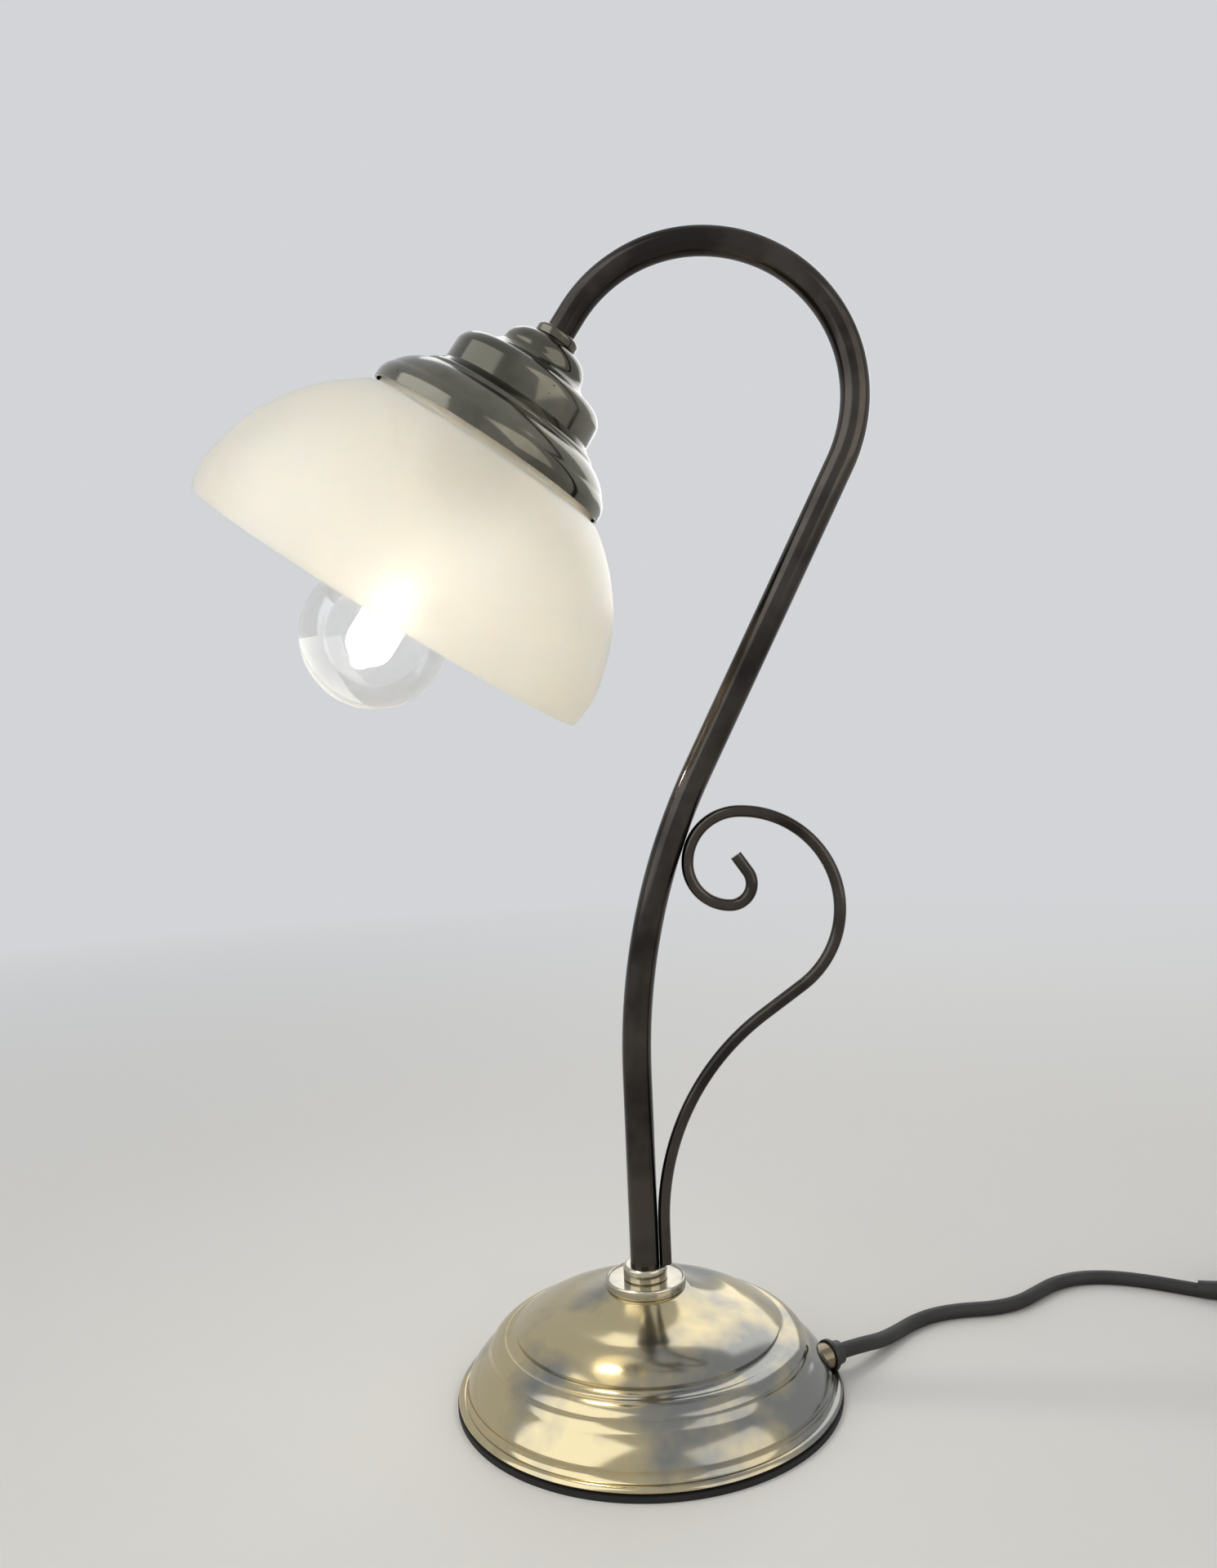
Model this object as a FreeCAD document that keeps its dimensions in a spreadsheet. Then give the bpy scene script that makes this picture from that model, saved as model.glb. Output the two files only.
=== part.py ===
"""Desk lamp: spun base, bent tube neck, scroll brace and an opal glass shade on a tilted holder.

Millimetres, +Z up. The origin is the middle of the underside of the base. The neck, the scroll
and the axis of the head lie in the plane Y = 0, and the head leans to -X.
"""
import FreeCAD, Part
import math
import os
import re
from FreeCAD import Placement, Rotation, Vector
from Sketcher import Constraint

SIZES = {
    # Foot and spun base
    "foot_radius": 78.7,
    "foot_thickness": 2.2,
    "base_wall": 1.0,
    "bead_radius": 78.4,
    "bead_inner_radius": 75.5,
    "bead_rise": 2.7,
    "cove_radius": 74.2,
    "cove_height": 8.6,
    "skirt_top_radius": 66.6,
    "skirt_top_height": 17.4,
    "groove_radius": 64.4,
    "groove_height": 21.7,
    "ring_top_radius": 59.0,
    "ring_top_height": 25.6,
    "lip_radius": 54.1,
    "lip_height": 26.9,
    "lip_rise": 1.6,
    "shoulder_radius": 38.0,
    "shoulder_height": 35.9,
    "crown_radius": 16.8,
    "crown_height": 43.0,
    "bell_sweep": 60.0,
    "dome_sweep": 46.0,
    "ring_sweep": 7.0,
    "groove_sweep": 9.0,
    "skirt_sweep": 6.5,
    "belly_sweep": 24.0,
    "cove_sweep": 4.0,
    "bead_sweep": 2.4,
    "bead_tuck": 0.9,
    # Weight inside the base
    "weight_radius": 60.0,
    "weight_thickness": 15.0,
    "boss_radius": 13.0,
    "recess_radius": 16.0,
    "recess_depth": 9.0,
    "channel_width": 9.0,
    "weight_chamfer": 4.0,
    "boss_fillet": 5.0,
    # Cup and collar at the root of the neck
    "cup_radius": 16.5,
    "cup_rise": 4.0,
    "cup_rim_width": 1.5,
    "cup_dish": 0.7,
    "cup_round": 0.8,
    "collar_wall": 3.0,
    "collar_rise": 5.7,
    "collar_round": 1.2,
    "collar_foot_round": 0.8,
    # Neck tube
    "tube_diameter": 12.0,
    "tube_wall": 1.0,
    "tube_foot_height": 4.0,
    "neck_rise": 127.0,
    "lean_radius": 270.0,
    "lean_angle": 27.1,
    "lean_length": 135.0,
    "crook_radius": 63.5,
    "crook_angle": 117.1,
    "drop_radius": 59.0,
    "drop_angle": 55.0,
    "drop_length": 9.0,
    # Scroll brace
    "rod_diameter": 5.0,
    "rod_gap": 0.05,
    "rod_rise": 15.5,
    "sweep_radius": 107.0,
    "sweep_angle": 54.0,
    "sweep_length": 19.4,
    "bow_radius": 39.5,
    "bow_angle": 144.0,
    "curl_radius": 21.1,
    "curl_inner_radius": 17.0,
    "hook_radius": 8.7,
    "hook_angle": 124.0,
    "hook_length": 8.0,
    # Fixings at the foot of the tube
    "washer_diameter": 24.0,
    "washer_thickness": 1.2,
    "nut_flats": 17.0,
    "nut_thickness": 4.5,
    "fit_gap": 0.05,
    # Head, measured along its axis from the end of the neck
    "ferrule_radius": 9.2,
    "ferrule_round": 1.8,
    "ferrule_gap": 0.3,
    "ferrule_shelf": 1.0,
    "tube_entry": 4.5,
    "nipple_length": 26.0,
    "nipple_bore": 6.5,
    "holder_wall": 0.9,
    "cap_flat_radius": 11.0,
    "cap_radius": 18.3,
    "cap_height": 8.0,
    "cap_sweep": 9.0,
    "waist_radius": 20.3,
    "waist_height": 10.6,
    "waist_sweep": 5.0,
    "saddle_radius": 27.5,
    "saddle_height": 13.7,
    "saddle_sweep": 14.0,
    "drum_top_radius": 33.4,
    "drum_top_height": 19.7,
    "drum_sweep": 8.0,
    "drum_radius": 33.6,
    "drum_height": 28.2,
    "ring_radius": 36.4,
    "ring_height": 30.8,
    "flange_root_radius": 39.7,
    "flange_root_height": 33.4,
    "flange_root_sweep": 5.0,
    "flange_radius": 50.2,
    "flange_height": 42.1,
    "flange_sweep": 22.0,
    "gallery_radius": 53.0,
    "gallery_top_height": 48.1,
    "gallery_sweep": 9.0,
    "gallery_height": 50.6,
    # Lampholder and bulb
    "lampholder_radius": 19.0,
    "lampholder_wall": 1.6,
    "lampholder_top": 16.0,
    "lampholder_length": 62.0,
    "lampholder_round": 6.0,
    "lampholder_split": 20.0,
    "lampholder_roof": 3.0,
    "mouth_lip": 2.0,
    "insert_floor": 10.0,
    "insert_gap": 0.3,
    "thread_gap": 0.8,
    "bulb_radius": 30.0,
    "bulb_length": 107.0,
    "bulb_tip": 175.0,
    "bulb_cap_radius": 13.2,
    "bulb_cap_length": 24.0,
    "bulb_neck_radius": 16.5,
    "bulb_neck_length": 16.0,
    "bulb_neck_sweep": 60.0,
    "bulb_flare_sweep": 46.0,
    "bulb_glass_wall": 0.7,
    "contact_radius": 5.0,
    "contact_height": 3.0,
    "contact_rise": 1.0,
    # Glass shade
    "glass_wall": 2.2,
    "fitter_radius": 50.4,
    "fitter_height": 51.7,
    "shade_root_radius": 55.0,
    "shade_root_height": 58.9,
    "shade_hip_radius": 79.5,
    "shade_hip_height": 85.0,
    "shade_belly_radius": 91.0,
    "shade_belly_height": 118.0,
    "shade_rim_radius": 89.7,
    "shade_rim_height": 132.0,
    "shade_shelf": 2.6,
    "shelf_sweep": 3.5,
    "shoulder_sweep": 88.0,
    "rim_sweep": 36.0,
    "clip_width": 9.0,
    "clip_thickness": 0.8,
    "clip_length": 2.6,
    "clip_gap": 0.15,
    # Bush where the cord leaves the base
    "bush_azimuth": 7.0,
    "bush_turn": 30.0,
    "bush_height": 9.4,
    "bush_radius": 5.2,
    "bush_flange_radius": 6.4,
    "bush_flange_thickness": 2.0,
    "bush_place": 74.0,
    "bush_length": 6.2,
    "bush_tail": 7.0,
    "bush_taper": 0.6,
    # Cord, its coil, the inline switch and the plug
    "cord_diameter": 6.2,
    "coil_mean_radius": 35.0,
    "coil_gap": 1.9,
    "coil_layer_gap": 0.9,
    "coil_turns": 3.0,
    "switch_length": 62.0,
    "switch_width": 27.0,
    "switch_height": 22.0,
    "switch_split": 10.0,
    "switch_round": 6.0,
    "switch_wall": 3.0,
    "switch_end": 14.0,
    "well_depth": 3.5,
    "cheek_length": 8.0,
    "cheek_width": 18.0,
    "rocker_length": 20.0,
    "rocker_width": 11.0,
    "rocker_edge_height": 7.0,
    "rocker_hollow": 1.2,
    "rocker_skirt": 1.5,
    "rocker_keel_depth": 2.5,
    "rocker_keel_length": 6.0,
    "rocker_angle": 7.0,
    "rocker_gap": 0.8,
    "rocker_pin_radius": 1.2,
    "rocker_pin_length": 2.0,
    "rocker_pivot_height": 17.0,
    "pin_play": 0.05,
    "plug_length": 36.0,
    "plug_width": 35.3,
    "plug_height": 13.7,
    "plug_neck_width": 12.0,
    "plug_neck_length": 14.0,
    "plug_round": 1.6,
    "plug_nose": 4.0,
    "sleeve_wall": 1.4,
    "pin_radius": 2.0,
    "pin_length": 19.0,
    "pin_spacing": 18.6,
}

# Places of the cord on the floor, chosen by hand from the photograph: (x, y, z)
CORD_RUN = [
    (89.5, 23.2, 7.6), (97.6, 33.0, 4.6), (105.6, 43.4, 3.1), (114.2, 53.2, 3.1), (125.0, 61.2, 3.1),
    (138.0, 65.6, 3.1), (152.0, 67.4, 3.1), (165.0, 73.4, 3.1), (175.2, 83.8, 3.1), (185.6, 94.0, 3.1),
    (198.4, 100.4, 3.1), (213.0, 101.2, 3.1), (227.6, 97.2, 3.1), (241.4, 90.6, 3.1), (256.0, 83.6, 3.1),
    (268.0, 83.6, 3.1)]
# Steps of the cord from the top layer of the coil down to the floor
TAIL_STEPS = [(-11, 0, 0), (-25, -3, -2.4), (-39, -10.5, -5.6)]
TAIL_FLOOR_STEPS = [(-50, -21), (-60, -31), (-75, -40.5)]
SWITCH_PLACE = (299.0, 83.6)
COIL_PLACE = (412.0, 48.6)
PLUG_OFFSET = (-126.0, -92.0)

doc = FreeCAD.newDocument("DeskLamp")
sheet = doc.addObject("Spreadsheet::Sheet", "Sizes")
for row, (alias, number) in enumerate(SIZES.items(), 1):
    sheet.set("A%d" % row, alias)
    sheet.set("B%d" % row, str(number))
    sheet.setAlias("B%d" % row, alias)
doc.recompute()

SUB_PARTS = []


def bound(formula):
    """The formula with every size name pointing at the sheet."""
    def pointed(word):
        return "Sizes." + word[0] if word[0] in SIZES else word[0]
    return re.sub(r"[a-z][a-z_]*", pointed, formula)


def value(formula):
    """The number that a formula in size names gives."""
    return float(sheet.evalExpression(bound(formula)))


def sub_part(thing, label, place=Placement()):
    """Names a sub-part, places it and keeps it for export."""
    thing.Label = label
    thing.Placement = place
    SUB_PARTS.append(thing)
    return thing


def origin_plane(body, role):
    """One of the body's own origin planes."""
    return next(item for item in body.Origin.OriginFeatures if item.Role == role)


def arc_between(start, end, radius):
    """The short arc from start to end: it turns left for a positive radius, right for a negative one."""
    chord = end - start
    half = chord.Length / 2
    if half > abs(radius):
        raise ValueError("an arc of radius %.3f can't span %.3f" % (radius, 2 * half))
    side = Vector(-chord.y, chord.x, 0).normalize() * math.copysign(1, radius)
    centre = (start + end) / 2 + side * math.sqrt(radius * radius - half * half)
    first, last = (start, end) if radius > 0 else (end, start)
    low = math.atan2(first.y - centre.y, first.x - centre.x)
    high = math.atan2(last.y - centre.y, last.x - centre.x)
    return Part.ArcOfCircle(Part.Circle(centre, Vector(0, 0, 1), abs(radius)), low, high)


def pin_point(sketch, edge, end, across, up):
    """Holds one end of an edge at two formulas."""
    for kind, formula, axis in (("DistanceX", across, -2), ("DistanceY", up, -1)):
        number = value(formula)
        if abs(number) < 1e-9:
            sketch.addConstraint(Constraint("PointOnObject", edge, end, axis))
        else:
            index = sketch.addConstraint(Constraint(kind, -1, 1, edge, end, number))
            sketch.setExpression("Constraints[%d]" % index, bound(formula))


def draw_outline(sketch, outline, closed):
    """Draws corners given as (across, up) or (across, up, radius of the edge that arrives there)."""
    corners = [Vector(value(corner[0]), value(corner[1]), 0) for corner in outline]
    ends = []
    for number, corner in enumerate(outline):
        if number == 0 and not closed:
            continue
        radius = value(corner[2]) if len(corner) > 2 else 0
        before = corners[number - 1]
        if radius:
            edge = sketch.addGeometry(arc_between(before, corners[number], radius), False)
            index = sketch.addConstraint(Constraint("Radius", edge, abs(radius)))
            sketch.setExpression("Constraints[%d]" % index, "abs(%s)" % bound(corner[2]))
        else:
            edge = sketch.addGeometry(Part.LineSegment(before, corners[number]), False)
        ends.append((edge, 1, 2) if radius >= 0 else (edge, 2, 1))
    for number, (edge, tail, head) in enumerate(ends):
        if number + 1 < len(ends) or closed:
            follower = ends[(number + 1) % len(ends)]
            sketch.addConstraint(Constraint("Coincident", edge, head, follower[0], follower[1]))
        corner = outline[number] if closed else outline[number + 1]
        pin_point(sketch, edge, head, corner[0], corner[1])
    if not closed:
        pin_point(sketch, ends[0][0], ends[0][1], outline[0][0], outline[0][1])


def body_sketch(body, name, role, lift=None):
    """A sketch on an origin plane of its own body, lifted along the plane's normal by a formula."""
    sketch = body.newObject("Sketcher::SketchObject", name)
    sketch.AttachmentSupport = (origin_plane(body, role), "")
    sketch.MapMode = "FlatFace"
    if lift:
        sketch.AttachmentOffset = Placement(Vector(0, 0, value(lift)), Rotation())
        sketch.setExpression(".AttachmentOffset.Base.z", bound(lift))
    return sketch


def turned(label, outline, place=Placement()):
    """A turned piece: a closed half section (radius, height) revolved about Z."""
    body = doc.addObject("PartDesign::Body", label)
    sketch = body_sketch(body, label + "_section", "XZ_Plane")
    draw_outline(sketch, outline, closed=True)
    turn = body.newObject("PartDesign::Revolution", label + "_turn")
    turn.Profile = sketch
    turn.ReferenceAxis = (sketch, ["V_Axis"])
    turn.Angle = 360
    return sub_part(body, label, place)


def spun(label, outline, wall, place=Placement()):
    """A spun or blown shell: an open outer line (radius, height), thickened to one side and revolved."""
    line = doc.addObject("Sketcher::SketchObject", label + "_line")
    line.Placement = Placement(Vector(), Rotation(Vector(1, 0, 0), 90))
    draw_outline(line, outline, closed=False)
    doc.recompute()
    section = doc.addObject("Part::Offset2D", label + "_section")
    section.Source = line
    section.Mode = "Skin"
    section.Fill = True
    section.setExpression("Value", bound(wall))
    turn = doc.addObject("Part::Revolution", label)
    turn.Source = section
    turn.Axis = (0, 0, 1)
    turn.Angle = 360
    return sub_part(turn, label, place)


def bend_end(start, heading, moves):
    """Where a bent path ends, and its heading in degrees, both in the X-Z plane."""
    point = Vector(start[0], start[1], 0)
    for move in moves:
        if move[0] == "straight":
            point = point + Rotation(Vector(0, 0, 1), heading).multVec(Vector(value(move[1]), 0, 0))
            continue
        turn = value(move[2]) * (1 if move[0] == "left" else -1)
        side = math.copysign(90, turn)
        spoke = Rotation(Vector(0, 0, 1), heading + side).multVec(Vector(value(move[1]), 0, 0))
        point = point + spoke - Rotation(Vector(0, 0, 1), turn).multVec(spoke)
        heading = heading + turn
    return point, heading


def bent(label, start, moves, sections, foot):
    """A bent bar or tube: circles at its foot swept up a path of straights and tangent bends."""
    body = doc.addObject("PartDesign::Body", label)
    path = body_sketch(body, label + "_path", "XZ_Plane")
    heading = 90.0
    tail = None
    for number, move in enumerate(moves):
        first = [value(start[0]), value(start[1])]
        point, aim = bend_end(first, 90.0, moves[:number])
        goal, heading = bend_end(first, 90.0, moves[:number + 1])
        if move[0] == "straight":
            edge = path.addGeometry(Part.LineSegment(point, goal), False)
            index = path.addConstraint(Constraint("Distance", edge, value(move[1])))
            path.setExpression("Constraints[%d]" % index, bound(move[1]))
            ends = (1, 2)
        else:
            radius = value(move[1])
            turn = value(move[2])
            left = move[0] == "left"
            side = aim + 90 if left else aim - 90
            centre = point + Rotation(Vector(0, 0, 1), side).multVec(Vector(radius, 0, 0))
            low = aim - 90 if left else aim + 90 - turn
            curve = Part.ArcOfCircle(Part.Circle(centre, Vector(0, 0, 1), radius),
                                     math.radians(low), math.radians(low + turn))
            edge = path.addGeometry(curve, False)
            index = path.addConstraint(Constraint("Radius", edge, radius))
            path.setExpression("Constraints[%d]" % index, bound(move[1]))
            index = path.addConstraint(Constraint("Angle", edge, math.radians(turn)))
            path.setExpression("Constraints[%d]" % index, "(%s) * 1 deg" % bound(move[2]))
            ends = (1, 2) if left else (2, 1)
        if tail is None:
            pin_point(path, edge, ends[0], start[0], start[1])
            path.addConstraint(Constraint("Vertical", edge))
        else:
            path.addConstraint(Constraint("Tangent", tail[0], tail[1], edge, ends[0]))
        tail = (edge, ends[1])
    profile = body_sketch(body, label + "_section", "XY_Plane", foot)
    for radius in sections:
        circle = Part.Circle(Vector(value(start[0]), 0, 0), Vector(0, 0, 1), value(radius))
        edge = profile.addGeometry(circle, False)
        pin_point(profile, edge, 3, start[0], "0")
        index = profile.addConstraint(Constraint("Radius", edge, value(radius)))
        profile.setExpression("Constraints[%d]" % index, bound(radius))
    pipe = body.newObject("PartDesign::AdditivePipe", label + "_pipe")
    pipe.Profile = profile
    pipe.Spine = path
    return sub_part(body, label)


def cord_path(points):
    """Straight runs joined by tangent arcs, each as large as its two runs allow."""
    corners = [Vector(*point) for point in points]
    edges = []
    radii = []
    last = corners[0]
    for before, corner, after in zip(corners, corners[1:], corners[2:]):
        back = before - corner
        ahead = after - corner
        reach = 0.45 * min(back.Length, ahead.Length)
        half_turn = (math.pi - back.getAngle(ahead)) / 2
        radii.append(reach / math.tan(half_turn))
        start = corner + back.normalize() * reach
        end = corner + ahead.normalize() * reach
        bow = radii[-1] * (1 / math.cos(half_turn) - 1)
        middle = corner + (back + ahead).normalize() * bow
        edges.append(Part.LineSegment(last, start).toShape())
        edges.append(Part.Arc(start, middle, end).toShape())
        last = end
    edges.append(Part.LineSegment(last, corners[-1]).toShape())
    return Part.Wire(edges), radii


def swept_cord(label, wire):
    """A round cord along a path, closed at both ends."""
    radius = value("cord_diameter / 2")
    start = wire.OrderedEdges[0]
    ring = Part.Circle(start.valueAt(start.FirstParameter), start.tangentAt(start.FirstParameter), radius)
    solid = wire.makePipeShell([Part.Wire(ring.toShape())], True, False)
    expected = math.pi * radius * radius * wire.Length
    if abs(solid.Volume - expected) > 0.01 * expected:
        raise ValueError("%s has volume %.0f, not %.0f" % (label, solid.Volume, expected))
    feature = doc.addObject("Part::Feature", label)
    feature.Shape = solid
    print("%s: length %.1f mm" % (label, wire.Length))
    return sub_part(feature, label)


# Foot, base shell, weight and what clamps the neck to them
BASE_TOP = "crown_height"
CUP_FLOOR = "(crown_height + cup_rise - cup_dish)"
COLLAR_TOP = "(crown_height + cup_rise - cup_dish + collar_rise)"
TUBE_HOLE = "(tube_diameter / 2 + fit_gap)"
WEIGHT_FACE = "(foot_thickness + weight_thickness)"
WEIGHT_TOP = "(crown_height - base_wall)"
CHANNEL_REACH = "(weight_radius + 5)"


def base_foot():
    """Black foot disc under the whole base."""
    disc = doc.addObject("Part::Cylinder", "base_foot")
    disc.setExpression("Radius", bound("foot_radius"))
    disc.setExpression("Height", bound("foot_thickness"))
    return sub_part(disc, "base_foot")


def base_shell():
    """Spun shell: rolled bead, cove, skirt, groove, ring, lip and the bell that flares up to the cup."""
    outline = [
        (TUBE_HOLE, BASE_TOP),
        ("crown_radius", BASE_TOP),
        ("shoulder_radius", "shoulder_height", "bell_sweep"),
        ("lip_radius", "lip_height + lip_rise", "-dome_sweep"),
        ("lip_radius", "lip_height"),
        ("ring_top_radius", "ring_top_height", "ring_sweep"),
        ("groove_radius", "groove_height", "-groove_sweep"),
        ("skirt_top_radius", "skirt_top_height", "skirt_sweep"),
        ("cove_radius", "cove_height", "-belly_sweep"),
        ("bead_inner_radius", "foot_thickness + bead_rise", "cove_sweep"),
        ("bead_radius", "foot_thickness + bead_rise / 2", "-bead_sweep"),
        ("bead_radius - bead_tuck", "foot_thickness", "-bead_sweep"),
    ]
    shell = spun("spun_base", outline, "-base_wall")
    SUB_PARTS.remove(shell)
    return sub_part(drilled_for_bush(shell), "base_shell")


def base_weight():
    """Cast iron weight with a boss for the tube, a nut recess and a channel for the cord."""
    body = turned("base_weight", [
        (TUBE_HOLE, "foot_thickness + recess_depth"),
        ("recess_radius", "foot_thickness + recess_depth"),
        ("recess_radius", "foot_thickness"),
        ("weight_radius", "foot_thickness"),
        ("weight_radius", WEIGHT_FACE + " - weight_chamfer"),
        ("weight_radius - weight_chamfer", WEIGHT_FACE),
        ("boss_radius + boss_fillet", WEIGHT_FACE),
        ("boss_radius", WEIGHT_FACE + " + boss_fillet", "-boss_fillet"),
        ("boss_radius", WEIGHT_TOP),
        (TUBE_HOLE, WEIGHT_TOP),
    ])
    doc.recompute()
    sketch = body_sketch(body, "channel_outline", "XY_Plane", "foot_thickness")
    turn = math.radians(value("bush_azimuth"))
    along = Vector(math.cos(turn), math.sin(turn), 0)
    side = Vector(-along.y, along.x, 0) * value("channel_width / 2")
    reach = along * value(CHANNEL_REACH)
    corners = [side, reach + side, reach - side, -side]
    for start, end in zip(corners, corners[1:] + corners[:1]):
        sketch.addGeometry(Part.LineSegment(start, end), False)
    for edge in range(4):
        sketch.addConstraint(Constraint("Coincident", edge, 2, (edge + 1) % 4, 1))
    sketch.addConstraint(Constraint("Perpendicular", 0, 1))
    sketch.addConstraint(Constraint("Perpendicular", 1, 2))
    sketch.addConstraint(Constraint("Perpendicular", 2, 3))
    sketch.addConstraint(Constraint("Symmetric", 3, 1, 3, 2, -1, 1))
    width = sketch.addConstraint(Constraint("Distance", 3, value("channel_width")))
    sketch.setExpression("Constraints[%d]" % width, bound("channel_width"))
    length = sketch.addConstraint(Constraint("Distance", 0, value(CHANNEL_REACH)))
    sketch.setExpression("Constraints[%d]" % length, bound(CHANNEL_REACH))
    aim = sketch.addConstraint(Constraint("Angle", -1, 1, 0, 1, turn))
    sketch.setExpression("Constraints[%d]" % aim, "%s * 1 deg" % bound("bush_azimuth"))
    before = body.Shape.Volume
    channel = body.newObject("PartDesign::Pocket", "cord_channel")
    channel.Profile = sketch
    channel.Reversed = True
    channel.setExpression("Length", bound("recess_depth"))
    doc.recompute()
    if body.Shape.Volume > before - 1000:
        raise ValueError("the cord channel cuts nothing")
    return body


def base_cup():
    """Turned cup with a rolled rim and a shallow dish."""
    return turned("base_cup", [
        (TUBE_HOLE, BASE_TOP),
        ("cup_radius - cup_round", BASE_TOP),
        ("cup_radius", "crown_height + cup_round", "cup_round"),
        ("cup_radius", "crown_height + cup_rise - cup_round"),
        ("cup_radius - cup_round", "crown_height + cup_rise", "cup_round"),
        ("cup_radius - cup_rim_width", CUP_FLOOR, "cup_rim_width"),
        (TUBE_HOLE, CUP_FLOOR),
    ])


def foot_collar():
    """Collar round the root of the neck; the scroll stands on its top."""
    outer = "(tube_diameter / 2 + collar_wall)"
    return turned("foot_collar", [
        (TUBE_HOLE, CUP_FLOOR),
        (outer + " - collar_foot_round", CUP_FLOOR),
        (outer, CUP_FLOOR + " + collar_foot_round", "collar_foot_round"),
        (outer, COLLAR_TOP + " - collar_round"),
        (outer + " - collar_round", COLLAR_TOP, "collar_round"),
        (TUBE_HOLE, COLLAR_TOP),
    ])


def base_washer():
    """Steel washer in the recess of the weight."""
    top = "foot_thickness + recess_depth"
    return turned("base_washer", [
        (TUBE_HOLE, top + " - washer_thickness"),
        ("washer_diameter / 2", top + " - washer_thickness"),
        ("washer_diameter / 2", top),
        (TUBE_HOLE, top),
    ])


def base_nut():
    """Hexagon nut that clamps neck, cup, shell and weight together."""
    prism = doc.addObject("Part::Prism", "nut_blank")
    prism.Polygon = 6
    prism.setExpression("Circumradius", bound("nut_flats") + " / sqrt(3)")
    prism.setExpression("Height", bound("nut_thickness"))
    hole = doc.addObject("Part::Cylinder", "nut_hole")
    hole.setExpression("Radius", bound(TUBE_HOLE))
    hole.setExpression("Height", bound("nut_thickness"))
    nut = doc.addObject("Part::Cut", "base_nut")
    nut.Base = prism
    nut.Tool = hole
    height = value("foot_thickness + recess_depth - washer_thickness - nut_thickness")
    return sub_part(nut, "base_nut", Placement(Vector(0, 0, height), Rotation()))


# Neck and scroll
NECK_START = ("0", "tube_foot_height")
NECK_MOVES = [
    ("straight", "neck_rise"),
    ("right", "lean_radius", "lean_angle"),
    ("straight", "lean_length"),
    ("left", "crook_radius", "crook_angle"),
    ("left", "drop_radius", "drop_angle"),
    ("straight", "drop_length"),
]
ROD_START = ("tube_diameter / 2 + rod_diameter / 2 + rod_gap", COLLAR_TOP)
ROD_MOVES = [
    ("straight", "rod_rise"),
    ("right", "sweep_radius", "sweep_angle"),
    ("straight", "sweep_length"),
    ("left", "bow_radius", "bow_angle"),
    ("left", "curl_radius", "90"),
    ("left", "curl_inner_radius", "90"),
    ("left", "hook_radius", "hook_angle"),
    ("straight", "hook_length"),
]


def neck_tube():
    """Bent tube from the nut under the base, over the crook and into the ferrule of the head."""
    moves = NECK_MOVES[:-1] + [("straight", "drop_length + tube_entry")]
    return bent("neck_tube", NECK_START, moves,
                ["tube_diameter / 2", "tube_diameter / 2 - tube_wall"], "tube_foot_height")


def scroll_rod():
    """Round bar that rises beside the neck, bows out and curls back in to touch it."""
    return bent("scroll_rod", ROD_START, ROD_MOVES, ["rod_diameter / 2"], COLLAR_TOP)


# Head: every piece is turned about the head's own axis, which starts where the neck ends
neck_point, neck_heading = bend_end([value(place) for place in NECK_START], 90.0, NECK_MOVES)
HEAD = Placement(Vector(neck_point.x, 0, neck_point.y), Rotation(Vector(0, 1, 0), 90 - neck_heading))
BORE = "(tube_diameter / 2 - tube_wall - fit_gap)"
HOLDER_SEAT = "(tube_entry + ferrule_shelf)"


def head_ferrule():
    """Rounded ferrule on the end of the neck, standing on top of the holder."""
    return turned("head_ferrule", [
        (TUBE_HOLE, "ferrule_gap"),
        ("ferrule_radius - ferrule_round", "ferrule_gap"),
        ("ferrule_radius", "ferrule_gap + ferrule_round", "ferrule_round"),
        ("ferrule_radius", HOLDER_SEAT + " - ferrule_round"),
        ("ferrule_radius - ferrule_round", HOLDER_SEAT, "ferrule_round"),
        (BORE + " + fit_gap", HOLDER_SEAT),
        (BORE + " + fit_gap", "tube_entry + fit_gap"),
        (TUBE_HOLE, "tube_entry + fit_gap"),
    ], HEAD)


def head_nipple():
    """Threaded nipple from inside the neck, through the holder, into the lampholder."""
    end = "(lampholder_top + lampholder_roof + ferrule_shelf)"
    return turned("head_nipple", [
        ("nipple_bore / 2", end + " - nipple_length"),
        (BORE, end + " - nipple_length"),
        (BORE, end),
        ("nipple_bore / 2", end),
    ], HEAD)


def shade_holder():
    """Spun holder: domed cap, saddle, drum, ringed waist and the domed flange that carries the glass."""
    seat = HOLDER_SEAT
    outline = [
        (BORE + " + fit_gap", seat),
        ("cap_flat_radius", seat),
        ("cap_radius", seat + " + cap_height", "cap_sweep"),
        ("waist_radius", seat + " + waist_height", "-waist_sweep"),
        ("saddle_radius", seat + " + saddle_height", "-saddle_sweep"),
        ("drum_top_radius", seat + " + drum_top_height", "drum_sweep"),
        ("drum_radius", seat + " + drum_height"),
        ("ring_radius", seat + " + ring_height"),
        ("flange_root_radius", seat + " + flange_root_height", "flange_root_sweep"),
        ("flange_radius", seat + " + flange_height", "flange_sweep"),
        ("gallery_radius", seat + " + gallery_top_height", "gallery_sweep"),
        ("gallery_radius", seat + " + gallery_height"),
    ]
    return spun("shade_holder", outline, "holder_wall", HEAD)


# Lampholder and bulb
LAMPHOLDER_INNER = "(lampholder_radius - lampholder_wall)"
LAMPHOLDER_SPLIT = "(lampholder_top + lampholder_split)"
LAMPHOLDER_END = "(lampholder_top + lampholder_length)"
BULB_BASE = "(bulb_tip - bulb_length)"
CONTACT_FLOOR = "(bulb_tip - bulb_length - contact_height)"
BULB_NECK_END = "(bulb_tip - bulb_length + bulb_cap_length)"


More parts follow.
